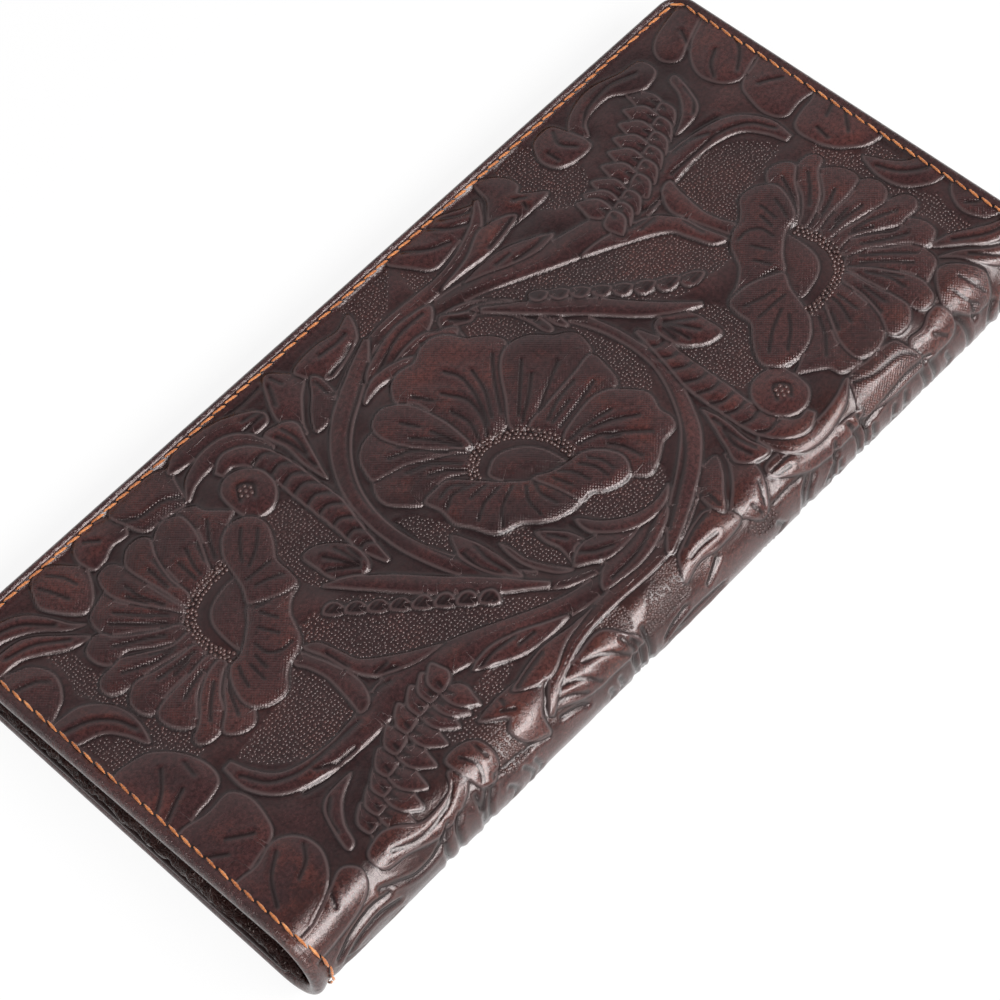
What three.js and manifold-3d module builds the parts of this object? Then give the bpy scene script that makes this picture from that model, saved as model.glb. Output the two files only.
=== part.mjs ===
// Long bifold wallet in tooled leather, closed and lying on its back cover.
// Millimetres, +Z up. X runs along the fold, the fold is on the -Y side and the open edge on the +Y side.
// The origin lies under the middle of the closed wallet, on the surface that it rests on.

import * as THREE from 'three';
import { mergeVertices } from 'three/addons/utils/BufferGeometryUtils.js';
import Module from 'manifold-3d';

const wasm = await Module();
wasm.setup();

// Overall form
const LENGTH = 192;
const WIDTH = 91.5;
const CLOSING_TILT = THREE.MathUtils.degToRad(4.6);
const CORNER_RADIUS = 5;
const SEAT_GAP = 0.3;
const FACING_CLEARANCE = 0.4;

// Cover leather, the flaps of its turned-in edges, and the cloth lining between the flaps
const COVER_LEATHER = 1.4;
const FLAP_LEATHER = 0.9;
const FLAP_WIDTH = 8;
const FLAP_BEVEL = 0.3;
const LINING_CLOTH = 0.4;

// Banknote panels
const PANEL_LEATHER = 0.7;
const PANEL_INSET = 0.3;

// Stepped card pockets on the front half
const POCKET_TIERS = 3;
const POCKET_DEPTH = 42;
const POCKET_STEP = 12;
const POCKET_SEAM = 5;
const STRIP_LEATHER = 0.5;
const STRIP_INSET = 3;
const CARD_GAP = 0.9;

// Coin pocket on the back half
const COIN_LEATHER = 0.8;
const COIN_SEAM = 4;
const COIN_INSET = 3;
const GUSSET_THICKNESS = 1.2;
const GUSSET_LEAST_HEIGHT = 0.4;

// Zip of the coin pocket
const ZIP_FROM_FOLD = 9;
const ZIP_END_INSET = 12;
const TAPE_THICKNESS = 0.3;
const TAPE_WIDTH = 5;
const TAPE_CLEARANCE = 0.1;
const TOOTH_PITCH = 2.4;
const TOOTH_WIDTH = 1.2;
const TOOTH_LENGTH = 2;
const TOOTH_HEIGHT = 1.6;
const TOOTH_CHAMFER = 0.3;
const BEAD_WIDTH = 0.8;
const ROW_GAP = 1.8;
const STOP_LENGTH = 2;
const STOP_GAP = 0.3;
const QUARTER_PITCH = 0.25;

// Zip slider and its pull tab
const SLIDER_LENGTH = 9.5;
const SLIDER_PLATE = 0.5;
const SLIDER_CLEARANCE = 0.2;
const SLIDER_WALL = 0.5;
const SLIDER_CORNER = 1.6;
const DIVIDER_WIDTH = 1.2;
const DIVIDER_LENGTH = 3.2;
const WINDOW_CLEARANCE = 0.5;
const PULL_THICKNESS = 0.7;
const PULL_LENGTH = 15;
const PULL_WIDTH = 4.4;
const PULL_NECK = 2.4;
const PULL_CLEARANCE = 0.25;
const STUD_RADIUS = 0.8;
const STUD_HEAD_RADIUS = 1.5;
const STUD_HEAD_HEIGHT = 0.35;
const EYE_WALL = 1.3;

// Joint between the three cover pieces, and facets of curved faces
const SPLIT_GAP = 0.3;
const ROLL_STEPS = 4;
const CORNER_STEPS = 5;
const FOLD_STEPS = 6;
const ROUND_STEPS = 20;

// Heights of the layers of a half, from the outer face of its cover
const flapLow = COVER_LEATHER + SEAT_GAP;
const flapHigh = flapLow + FLAP_LEATHER;
const liningLow = flapLow;
const liningHigh = liningLow + LINING_CLOTH;
const panelLow = flapHigh + SEAT_GAP;
const panelHigh = panelLow + PANEL_LEATHER;
const pocketSeat = panelHigh + SEAT_GAP;

// The card pockets overlap like shingles, so their tilt leaves a card's room between two strips
const pocketTilt = Math.asin((STRIP_LEATHER + CARD_GAP) / POCKET_STEP);
const pocketReach = POCKET_DEPTH * Math.cos(pocketTilt);
const pocketTop = pocketSeat + POCKET_DEPTH * Math.sin(pocketTilt) + STRIP_LEATHER * Math.cos(pocketTilt);

// Heights of the zip above the back cover's outer face
const sliderHalfHeight = TOOTH_HEIGHT / 2 + SLIDER_CLEARANCE + SLIDER_PLATE;
const zipMiddle = panelHigh + SEAT_GAP + sliderHalfHeight;
const pullLow = zipMiddle + sliderHalfHeight + PULL_CLEARANCE;
const pullHigh = pullLow + PULL_THICKNESS;
const studHigh = pullHigh + PULL_CLEARANCE + STUD_HEAD_HEIGHT;
const coinSeat = panelHigh + SEAT_GAP;
const coinLowAtZip = zipMiddle + TAPE_THICKNESS / 2 + SEAT_GAP;

// Widths of the zip, from its middle line
const rowInner = ROW_GAP / 2;
const rowOuter = rowInner + TOOTH_LENGTH + BEAD_WIDTH;
const sliderHalfWidth = rowOuter + SLIDER_CLEARANCE + SLIDER_WALL;
const windowHalfWidth = sliderHalfWidth + WINDOW_CLEARANCE;
const tapeInner = rowOuter + TAPE_CLEARANCE;
const tapeOuter = tapeInner + TAPE_WIDTH;

// The fold is as thick as the fullest place of the closed wallet: the last pocket's mouth over the zip stud
const openEdgeY = WIDTH / 2;
const lastMouth = POCKET_SEAM + (POCKET_TIERS - 1) * POCKET_STEP + pocketReach;
const fullestHeight = pocketTop + studHigh + FACING_CLEARANCE;
const tiltRise = Math.tan(CLOSING_TILT);
const roomPerRadius = 1 + Math.cos(CLOSING_TILT) + tiltRise * (1 + Math.sin(CLOSING_TILT));
const foldRadius = (fullestHeight + tiltRise * (WIDTH - lastMouth)) / roomPerRadius;
const foldY = foldRadius - WIDTH / 2;
const foldSweep = Math.PI + CLOSING_TILT;
const quarterSweep = foldSweep / 4;
const splitAngle = SPLIT_GAP / 2 / foldRadius;

// Places along Y
const zipY = foldY + ZIP_FROM_FOLD;
const coinLowerEnd = zipY + windowHalfWidth;
const coinUpperStart = zipY - windowHalfWidth;
const coinUpperEnd = zipY - tapeOuter - SEAT_GAP - COIN_LEATHER;
const panelMouth = coinUpperEnd - SEAT_GAP;
const coinStart = openEdgeY - COIN_SEAM;
const coinTilt = Math.atan((coinLowAtZip - coinSeat) / (coinStart - coinLowerEnd));

// Places along X
const toothCount = Math.floor((LENGTH - 2 * ZIP_END_INSET) / TOOTH_PITCH);
const zipHalfLength = toothCount * TOOTH_PITCH / 2;
const sliderX = zipHalfLength - SLIDER_LENGTH / 2;

// Materials
function finish(color, roughness, metalness = 0) {
  return new THREE.MeshStandardMaterial({ color, roughness, metalness });
}

const tooledLeather = () => finish(0x46302c, 0.38);
const innerLeather = () => finish(0x3a2724, 0.45);
const liningCloth = () => finish(0x2b2220, 0.85);
const zipTape = () => finish(0x2a1f1c, 0.9);
const brass = () => finish(0xb08d4a, 0.32, 1);

function named(name, geometry, material) {
  const mesh = new THREE.Mesh(geometry, material);
  mesh.name = name;
  return mesh;
}

// Drops the triangles that a merge has closed to a line
function withoutSlivers(geometry) {
  const kept = [];
  const index = geometry.index.array;
  for (let i = 0; i < index.length; i += 3) {
    const [a, b, c] = [index[i], index[i + 1], index[i + 2]];
    if (a !== b && b !== c && c !== a) {
      kept.push(a, b, c);
    }
  }
  geometry.setIndex(kept);
  return geometry;
}

function positionsOnly(geometry) {
  geometry.deleteAttribute('normal');
  geometry.deleteAttribute('uv');
  return withoutSlivers(mergeVertices(geometry, 1e-4));
}

// Closed sheet along a bent path. Each station has a place and a direction across the sheet,
// and its section is a row of points along X, each with its height on the outer and the inner face.
function loftedSheet(stations) {
  const columns = stations[0].section.length;
  const points = [];
  const triangles = [];
  const corner = (i, j, side) => (i * columns + j) * 2 + side;
  const quad = (a, b, c, d) => triangles.push(a, c, b, a, d, c);
  for (const { y, z, across, section } of stations) {
    for (const { x, outer, inner } of section) {
      points.push(x, y + across.y * outer, z + across.z * outer);
      points.push(x, y + across.y * inner, z + across.z * inner);
    }
  }
  const last = stations.length - 1;
  for (let i = 0; i < last; i += 1) {
    for (let j = 0; j < columns - 1; j += 1) {
      quad(corner(i, j, 0), corner(i + 1, j, 0), corner(i + 1, j + 1, 0), corner(i, j + 1, 0));
      quad(corner(i, j, 1), corner(i, j + 1, 1), corner(i + 1, j + 1, 1), corner(i + 1, j, 1));
    }
    const end = columns - 1;
    quad(corner(i, 0, 0), corner(i, 0, 1), corner(i + 1, 0, 1), corner(i + 1, 0, 0));
    quad(corner(i, end, 0), corner(i + 1, end, 0), corner(i + 1, end, 1), corner(i, end, 1));
  }
  for (let j = 0; j < columns - 1; j += 1) {
    quad(corner(0, j, 0), corner(0, j + 1, 0), corner(0, j + 1, 1), corner(0, j, 1));
    quad(corner(last, j, 0), corner(last, j, 1), corner(last, j + 1, 1), corner(last, j + 1, 0));
  }
  const geometry = new THREE.BufferGeometry();
  geometry.setAttribute('position', new THREE.Float32BufferAttribute(points, 3));
  geometry.setIndex(triangles);
  return withoutSlivers(mergeVertices(geometry, 1e-4));
}

// Section of the cover: the outer face rolls over to the inner face at both ends
function coverSection(halfLength, outer) {
  const radius = COVER_LEATHER - outer;
  const half = [];
  for (let k = 0; k <= ROLL_STEPS; k += 1) {
    const angle = Math.PI / 2 * k / ROLL_STEPS;
    const x = halfLength - radius + radius * Math.cos(angle);
    half.push({ x, outer: COVER_LEATHER - radius * Math.sin(angle), inner: COVER_LEATHER });
  }
  const mirrored = half.map((point) => ({ ...point, x: -point.x }));
  return mirrored.concat(half.reverse());
}

function plainSection(halfLength, outer, inner) {
  return [{ x: -halfLength, outer, inner }, { x: halfLength, outer, inner }];
}

// Half length of the cover at a distance from the open edge, inside its rounded corners
function halfLengthAt(distance) {
  const inCorner = Math.max(CORNER_RADIUS - distance, 0);
  return LENGTH / 2 - CORNER_RADIUS + Math.sqrt(CORNER_RADIUS ** 2 - inCorner ** 2);
}

// Station on the flat of a half, and station on the fold at an angle from the flat
function flatStation(y, section) {
  return { y, z: 0, across: { y: 0, z: 1 }, section };
}

function foldStation(angle, section) {
  const across = { y: Math.sin(angle), z: Math.cos(angle) };
  return { y: foldY - foldRadius * across.y, z: foldRadius - foldRadius * across.z, across, section };
}

function foldStations(from, to, section) {
  const stations = [];
  for (let k = 0; k <= FOLD_STEPS; k += 1) {
    stations.push(foldStation(from + (to - from) * k / FOLD_STEPS, section));
  }
  return stations;
}

// Cover of a half: rolled open edge, rounded corners, flat, and its quarter of the fold
function halfCover() {
  const stations = [];
  const edgeStation = (distance) => {
    const inRoll = Math.max(COVER_LEATHER - distance, 0);
    const outer = COVER_LEATHER - Math.sqrt(COVER_LEATHER ** 2 - inRoll ** 2);
    stations.push(flatStation(openEdgeY - distance, coverSection(halfLengthAt(distance), outer)));
  };
  for (let k = 0; k <= ROLL_STEPS; k += 1) {
    edgeStation(COVER_LEATHER * (1 - Math.cos(Math.PI / 2 * k / ROLL_STEPS)));
  }
  for (let k = 1; k <= CORNER_STEPS; k += 1) {
    edgeStation(COVER_LEATHER + (CORNER_RADIUS - COVER_LEATHER) * k / CORNER_STEPS);
  }
  stations.push(...foldStations(0, quarterSweep - splitAngle, coverSection(LENGTH / 2, 0)));
  return loftedSheet(stations);
}

// Flap of a turned-in edge, with bevelled edges
function flap(outline) {
  const settings = {
    depth: FLAP_LEATHER - 2 * FLAP_BEVEL,
    bevelThickness: FLAP_BEVEL,
    bevelSize: FLAP_BEVEL,
    bevelOffset: -FLAP_BEVEL,
    bevelSegments: 2,
    curveSegments: CORNER_STEPS,
  };
  return positionsOnly(new THREE.ExtrudeGeometry(outline, settings).translate(0, 0, flapLow + FLAP_BEVEL));
}

// The flaps meet in a mitre at each rounded corner
const cornerX = LENGTH / 2 - CORNER_RADIUS;
const cornerY = openEdgeY - CORNER_RADIUS;
const mitreInset = SEAT_GAP / 2 * Math.SQRT2;
const mitreAngle = Math.PI / 4;
const mitreGapAngle = SEAT_GAP / 2 / CORNER_RADIUS;

function openEdgeFlap() {
  const innerX = LENGTH / 2 - FLAP_WIDTH - mitreInset;
  const innerY = openEdgeY - FLAP_WIDTH;
  const from = mitreAngle + mitreGapAngle;
  const outline = new THREE.Shape();
  outline.moveTo(-innerX, innerY);
  outline.lineTo(innerX, innerY);
  outline.absarc(cornerX, cornerY, CORNER_RADIUS, from, Math.PI / 2);
  outline.absarc(-cornerX, cornerY, CORNER_RADIUS, Math.PI / 2, Math.PI - from);
  return flap(outline);
}

// side is 1 for the end at +X in the half's own frame and -1 for the end at -X
function endFlap(side) {
  const innerX = LENGTH / 2 - FLAP_WIDTH;
  const innerY = openEdgeY - FLAP_WIDTH - mitreInset;
  const arcStart = side > 0 ? 0 : Math.PI;
  const arcEnd = arcStart + side * (mitreAngle - mitreGapAngle);
  const outline = new THREE.Shape();
  outline.moveTo(side * innerX, foldY);
  outline.lineTo(side * LENGTH / 2, foldY);
  outline.absarc(side * cornerX, cornerY, CORNER_RADIUS, arcStart, arcEnd, side < 0);
  outline.lineTo(side * innerX, innerY);
  return flap(outline);
}

const liningHalfLength = LENGTH / 2 - FLAP_WIDTH - SEAT_GAP;

function halfLining() {
  const section = plainSection(liningHalfLength, liningLow, liningHigh);
  const start = openEdgeY - FLAP_WIDTH - SEAT_GAP;
  return loftedSheet([flatStation(start, section), ...foldStations(0, quarterSweep - splitAngle, section)]);
}

function spineSheet(section) {
  return loftedSheet(foldStations(quarterSweep + splitAngle, 3 * quarterSweep - splitAngle, section));
}

// Flat panel between two places along Y, with rounded corners at its +Y edge
function panel(halfLength, startY, endY, thickness, radius) {
  const outline = new THREE.Shape();
  outline.moveTo(-halfLength, endY);
  outline.lineTo(halfLength, endY);
  outline.lineTo(halfLength, startY - radius);
  outline.absarc(halfLength - radius, startY - radius, radius, 0, Math.PI / 2);
  outline.lineTo(radius - halfLength, startY);
  outline.absarc(radius - halfLength, startY - radius, radius, Math.PI / 2, Math.PI);
  const settings = { depth: thickness, bevelEnabled: false, curveSegments: CORNER_STEPS };
  return positionsOnly(new THREE.ExtrudeGeometry(outline, settings));
}

function banknotePanel() {
  const radius = CORNER_RADIUS - PANEL_INSET;
  const geometry = panel(LENGTH / 2 - PANEL_INSET, openEdgeY - PANEL_INSET, panelMouth, PANEL_LEATHER, radius);
  return geometry.translate(0, 0, panelLow);
}

// Card pocket strip, tilted about its sewn lower edge
function cardPocket(tier) {
  const radius = CORNER_RADIUS / 2;
  const geometry = panel(LENGTH / 2 - STRIP_INSET, 0, -POCKET_DEPTH, STRIP_LEATHER, radius);
  const mesh = named(`card_pocket_${tier}`, geometry, innerLeather());
  mesh.position.set(0, openEdgeY - POCKET_SEAM - (tier - 1) * POCKET_STEP, pocketSeat);
  mesh.rotation.x = -pocketTilt;
  return mesh;
}

// Profile in the Y-Z plane, given as [y, z] points, extruded along X from a place
function extrudedAlongX(points, fromX, length) {
  const outline = new THREE.Shape(points.map(([y, z]) => new THREE.Vector2(y, z)));
  const geometry = new THREE.ExtrudeGeometry(outline, { depth: length, bevelEnabled: false });
  const yzToWorld = new THREE.Matrix4().makeBasis(
    new THREE.Vector3(0, 1, 0),
    new THREE.Vector3(0, 0, 1),
    new THREE.Vector3(1, 0, 0),
  );
  return positionsOnly(geometry.applyMatrix4(yzToWorld).translate(fromX, 0, 0));
}

const coinHalfLength = LENGTH / 2 - COIN_INSET;

// Coin pocket front, tilted about its sewn lower edge up to the zip
function coinLowerPanel() {
  const depth = (coinStart - coinLowerEnd) / Math.cos(coinTilt);
  const geometry = panel(coinHalfLength, 0, -depth, COIN_LEATHER, CORNER_RADIUS / 2);
  const mesh = named('coin_pocket_lower', geometry, innerLeather());
  mesh.position.set(0, coinStart, coinSeat);
  mesh.rotation.x = -coinTilt;
  return mesh;
}

// Strip above the zip, turned down to the banknote panel on the fold side
function coinUpperStrip() {
  const top = coinLowAtZip + COIN_LEATHER;
  const wallInner = coinUpperEnd + COIN_LEATHER;
  const profile = [
    [coinUpperStart, coinLowAtZip],
    [coinUpperStart, top],
    [coinUpperEnd + COIN_LEATHER / 2, top],
    [coinUpperEnd, top - COIN_LEATHER / 2],
    [coinUpperEnd, coinSeat],
    [wallInner, coinSeat],
    [wallInner, coinLowAtZip],
  ];
  return extrudedAlongX(profile, -coinHalfLength, 2 * coinHalfLength);
}

// Wedge that closes one end of the coin pocket, between the banknote panel and the pocket's front
function coinGusset(fromX) {
  const rise = Math.tan(coinTilt);
  const low = panelHigh + SEAT_GAP;
  const thinEnd = coinStart - (SEAT_GAP + GUSSET_LEAST_HEIGHT) / rise;
  const highAt = (y) => coinSeat + (coinStart - y) * rise - SEAT_GAP;
  const profile = [
    [thinEnd, low],
    [thinEnd, highAt(thinEnd)],
    [coinLowerEnd, highAt(coinLowerEnd)],
    [coinLowerEnd, low],
  ];
  return extrudedAlongX(profile, fromX, GUSSET_THICKNESS);
}

// Flat outline, given as [x, y] points or as a shape, extruded up from a height
function extrudedUp(outline, fromZ, height) {
  const shape = Array.isArray(outline)
    ? new THREE.Shape(outline.map(([x, y]) => new THREE.Vector2(x, y)))
    : outline;
  const settings = { depth: height, bevelEnabled: false, curveSegments: CORNER_STEPS };
  return positionsOnly(new THREE.ExtrudeGeometry(shape, settings).translate(0, 0, fromZ));
}

function rectangle(fromX, toX, fromY, toY) {
  return [[fromX, fromY], [toX, fromY], [toX, toY], [fromX, toY]];
}

// Row of teeth clamped on the bead of one tape. side is 1 for the lower row and -1 for the upper row.
function toothRow(side) {
  const root = rowInner + TOOTH_LENGTH;
  const shift = side > 0 ? QUARTER_PITCH : 1 - QUARTER_PITCH;
  const half = TOOTH_WIDTH / 2;
  const outline = [];
  for (let k = 0; k < toothCount; k += 1) {
    const x = -zipHalfLength + (k + shift) * TOOTH_PITCH;
    outline.push([x - half, root]);
    outline.push([x - half, rowInner + TOOTH_CHAMFER]);
    outline.push([x - half + TOOTH_CHAMFER, rowInner]);
    outline.push([x + half - TOOTH_CHAMFER, rowInner]);
    outline.push([x + half, rowInner + TOOTH_CHAMFER]);
    outline.push([x + half, root]);
  }
  outline.push([zipHalfLength, root], [zipHalfLength, rowOuter]);
  outline.push([-zipHalfLength, rowOuter], [-zipHalfLength, root]);
  const placed = outline.map(([x, y]) => [x, zipY + side * y]);
  return extrudedUp(placed, zipMiddle - TOOTH_HEIGHT / 2, TOOTH_HEIGHT);
}

function tape(side) {
  const edges = [zipY + side * tapeInner, zipY + side * tapeOuter].sort((a, b) => a - b);
  const half = zipHalfLength + STOP_GAP + STOP_LENGTH;
  return extrudedUp(rectangle(-half, half, ...edges), zipMiddle - TAPE_THICKNESS / 2, TAPE_THICKNESS);
}

// Stop at one end of the zip. endSide is 1 at +X and -1 at -X.
function stop(endSide, fromY, toY) {
  const near = endSide * (zipHalfLength + STOP_GAP);
  const far = near + endSide * STOP_LENGTH;
  const edges = [near, far].sort((a, b) => a - b);
  return extrudedUp(rectangle(...edges, fromY, toY), zipMiddle - TOOTH_HEIGHT / 2, TOOTH_HEIGHT);
}

function roundedRectangle(halfX, halfY, radius) {
  const shape = new THREE.Shape();
  shape.moveTo(halfX, radius - halfY);
  shape.absarc(halfX - radius, halfY - radius, radius, 0, Math.PI / 2);
  shape.absarc(radius - halfX, halfY - radius, radius, Math.PI / 2, Math.PI);
  shape.absarc(radius - halfX, radius - halfY, radius, Math.PI, 1.5 * Math.PI);
  shape.absarc(halfX - radius, radius - halfY, radius, 1.5 * Math.PI, 2 * Math.PI);
  return shape;
}

function manifoldOf(geometry) {
  const mesh = new wasm.Mesh({
    numProp: 3,
    vertProperties: Float32Array.from(geometry.attributes.position.array),
    triVerts: Uint32Array.from(geometry.index.array),
  });
  return new wasm.Manifold(mesh);
}

function geometryOf(manifold) {
  const { vertProperties, triVerts } = manifold.getMesh();
  const geometry = new THREE.BufferGeometry();
  geometry.setAttribute('position', new THREE.BufferAttribute(Float32Array.from(vertProperties), 3));
  geometry.setIndex(new THREE.BufferAttribute(Uint32Array.from(triVerts), 1));
  return geometry;
}

function disc(radius, fromZ, height) {
  const geometry = new THREE.CylinderGeometry(radius, radius, height, ROUND_STEPS);
  return positionsOnly(geometry.rotateX(Math.PI / 2).translate(0, 0, fromZ + height / 2));
}

// Slider: two plates with edge lips round the teeth, the divider that parts the rows, and the stud of the pull
function slider() {
  const halfLength = SLIDER_LENGTH / 2;
  const plate = roundedRectangle(halfLength, sliderHalfWidth, SLIDER_CORNER);
  const plateInner = TOOTH_HEIGHT / 2 + SLIDER_CLEARANCE;
  const lipInner = TAPE_THICKNESS / 2 + SLIDER_CLEARANCE;
  const lipHalfLength = halfLength - SLIDER_CORNER;
  const lipHeight = sliderHalfHeight - lipInner;
  const pieces = [
    extrudedUp(plate, plateInner, SLIDER_PLATE),
    extrudedUp(plate, -sliderHalfHeight, SLIDER_PLATE),
  ];
  for (const side of [-1, 1]) {
    const edges = [side * (sliderHalfWidth - SLIDER_WALL), side * sliderHalfWidth].sort((a, b) => a - b);
    const lip = rectangle(-lipHalfLength, lipHalfLength, ...edges);
    pieces.push(extrudedUp(lip, lipInner, lipHeight));
    pieces.push(extrudedUp(lip, -sliderHalfHeight, lipHeight));
  }
  const nose = -halfLength + SLIDER_PLATE;
  const divider = [
    [nose, 0],
    [nose + DIVIDER_LENGTH / 2, -DIVIDER_WIDTH / 2],
    [nose + DIVIDER_LENGTH, 0],
    [nose + DIVIDER_LENGTH / 2, DIVIDER_WIDTH / 2],
  ];
  pieces.push(extrudedUp(divider, -sliderHalfHeight, 2 * sliderHalfHeight));
  const studTop = studHigh - zipMiddle;
  pieces.push(disc(STUD_RADIUS, plateInner, studTop - plateInner));
  pieces.push(disc(STUD_HEAD_RADIUS, studTop - STUD_HEAD_HEIGHT, STUD_HEAD_HEIGHT));
  const joined = pieces.map(manifoldOf).reduce((whole, piece) => whole.add(piece));
  return geometryOf(joined).translate(sliderX, zipY, zipMiddle);
}

// Pull tab with an eye round the stud, lying along the zip
function pullTab() {
  const eyeRadius = STUD_RADIUS + PULL_CLEARANCE;
  const eyeOuter = eyeRadius + EYE_WALL;
  const neckStart = Math.acos(PULL_NECK / 2 / eyeOuter);
  const tabStart = -eyeOuter - PULL_NECK;
  const tabEnd = -PULL_LENGTH;
  const halfWidth = PULL_WIDTH / 2;
  const outline = new THREE.Shape();
  outline.absarc(0, 0, eyeOuter, -Math.PI / 2 - neckStart, Math.PI / 2 + neckStart);
  outline.lineTo(tabStart, halfWidth);
  outline.lineTo(tabEnd + halfWidth, halfWidth);
  outline.absarc(tabEnd + halfWidth, 0, halfWidth, Math.PI / 2, 1.5 * Math.PI);
  outline.lineTo(tabStart, -halfWidth);
  const eye = new THREE.Path();
  eye.absarc(0, 0, eyeRadius, 0, 2 * Math.PI, true);
  outline.holes.push(eye);
  return extrudedUp(outline, pullLow, PULL_THICKNESS).translate(sliderX, zipY, 0);
}

// Parts that both halves have, in the half's own frame: outer face at z = 0, contents above it.
// nearEnd is the side of that frame, 1 or -1 along X, that ends up at the wallet's -X end.
function addHalf(group, side, nearEnd) {
  group.add(named(`${side}_cover`, halfCover(), tooledLeather()));
  group.add(named(`${side}_edge_flap_open`, openEdgeFlap(), tooledLeather()));
  group.add(named(`${side}_edge_flap_near`, endFlap(nearEnd), tooledLeather()));
  group.add(named(`${side}_edge_flap_far`, endFlap(-nearEnd), tooledLeather()));
  group.add(named(`${side}_lining`, halfLining(), liningCloth()));
  group.add(named(`${side}_banknote_panel`, banknotePanel(), innerLeather()));
}

function backHalf() {
  const group = new THREE.Group();
  addHalf(group, 'back', -1);
  group.add(coinLowerPanel());
  group.add(named('coin_pocket_upper', coinUpperStrip(), innerLeather()));
  group.add(named('coin_gusset_near', coinGusset(-coinHalfLength), innerLeather()));
  group.add(named('coin_gusset_far', coinGusset(coinHalfLength - GUSSET_THICKNESS), innerLeather()));
  for (const [name, side] of [['lower', 1], ['upper', -1]]) {
    const stopEdges = [zipY + side * rowInner, zipY + side * rowOuter].sort((a, b) => a - b);
    group.add(named(`zip_tape_${name}`, tape(side), zipTape()));
    group.add(named(`zip_teeth_${name}`, toothRow(side), brass()));
    group.add(named(`zip_top_stop_${name}`, stop(-1, ...stopEdges), brass()));
  }
  group.add(named('zip_bottom_stop', stop(1, zipY - rowOuter, zipY + rowOuter), brass()));
  group.add(named('zip_slider', slider(), brass()));
  group.add(named('zip_pull', pullTab(), brass()));
  return group;
}

function spine() {
  const group = new THREE.Group();
  group.add(named('spine_cover', spineSheet(coverSection(LENGTH / 2, 0)), tooledLeather()));
  const liningEnds = plainSection(liningHalfLength, liningLow, liningHigh);
  group.add(named('spine_lining', spineSheet(liningEnds), liningCloth()));
  return group;
}

// The front half is turned over and closed down on the back half about the middle of the fold
function frontHalf() {
  const half = new THREE.Group();
  addHalf(half, 'front', 1);
  for (let tier = 1; tier <= POCKET_TIERS; tier += 1) {
    half.add(cardPocket(tier));
  }
  half.rotation.y = Math.PI;
  half.position.set(0, -foldY, foldRadius);
  const closed = new THREE.Group();
  closed.add(half);
  closed.position.set(0, foldY, foldRadius);
  closed.rotation.x = -CLOSING_TILT;
  return closed;
}

const wallet = new THREE.Group();
wallet.add(backHalf(), spine(), frontHalf());

export default wallet;
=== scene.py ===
# Long bifold wallet of tooled leather: the looks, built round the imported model.
import bpy
import numpy as np
from mathutils import Matrix, Vector


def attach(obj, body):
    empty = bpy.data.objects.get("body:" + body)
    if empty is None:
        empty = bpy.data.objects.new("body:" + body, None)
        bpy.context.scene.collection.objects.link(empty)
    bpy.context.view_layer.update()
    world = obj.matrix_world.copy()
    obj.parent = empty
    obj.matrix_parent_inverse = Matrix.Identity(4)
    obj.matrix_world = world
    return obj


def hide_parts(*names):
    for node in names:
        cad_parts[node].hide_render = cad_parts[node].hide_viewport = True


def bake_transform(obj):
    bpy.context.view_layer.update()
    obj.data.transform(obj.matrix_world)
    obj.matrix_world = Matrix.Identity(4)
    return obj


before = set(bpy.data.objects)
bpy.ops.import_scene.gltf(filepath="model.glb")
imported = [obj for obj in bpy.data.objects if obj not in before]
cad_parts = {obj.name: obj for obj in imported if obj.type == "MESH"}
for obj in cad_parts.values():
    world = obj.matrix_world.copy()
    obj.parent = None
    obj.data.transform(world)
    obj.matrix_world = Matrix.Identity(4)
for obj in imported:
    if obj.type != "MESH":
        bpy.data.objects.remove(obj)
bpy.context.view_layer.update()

# Sizes of the wallet in millimetres, as in the part's source.
MM = 0.001
LENGTH = 192.0
WIDTH = 91.5
CORNER = 5.0
CLOSING_TILT = np.radians(4.6)
SEAT_GAP = 0.3
FACING_CLEARANCE = 0.4
COVER_LEATHER = 1.4
FLAP_LEATHER = 0.9
FLAP_WIDTH = 8.0
LINING_CLOTH = 0.4
PANEL_LEATHER = 0.7
PANEL_INSET = 0.3
SEED = 7

# Card pockets, lifted like shingles so that a card fits under each.
TIERS = (1, 2, 3)
POCKET_INSET = 3.0
POCKET_SEAM = 5.0
POCKET_DEPTH = 42.0
POCKET_STEP = 12.0
POCKET_LEATHER = 0.5
CARD_GAP = 0.9
POCKET_RISE = np.arcsin((POCKET_LEATHER + CARD_GAP) / POCKET_STEP)

# Coin pocket and its zip; the window and the tapes are measured from the zip's middle line.
COIN_INSET = 3.0
COIN_SEAM = 4.0
COIN_LEATHER = 0.8
ZIP_FROM_FOLD = 9.0
ZIP_END_INSET = 12.0
ZIP_WINDOW = 4.9
STOP_ROOM = 2.3
TAPE_INNER = 3.8
TAPE_WIDTH = 5.0
TAPE_CLOTH = 0.3
SLIDER_HALF_HEIGHT = 1.5
STUD_OVER_SLIDER = 1.55

# Heights of the layers over a half's outer face.
LINING_LOW = COVER_LEATHER + SEAT_GAP
PANEL_LOW = LINING_LOW + FLAP_LEATHER + SEAT_GAP
POCKET_SEAT = PANEL_LOW + PANEL_LEATHER + SEAT_GAP
POCKET_TOP = POCKET_SEAT + POCKET_DEPTH * np.sin(POCKET_RISE) + POCKET_LEATHER * np.cos(POCKET_RISE)
ZIP_MIDDLE = POCKET_SEAT + SLIDER_HALF_HEIGHT
STUD_TOP = ZIP_MIDDLE + SLIDER_HALF_HEIGHT + STUD_OVER_SLIDER

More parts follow.
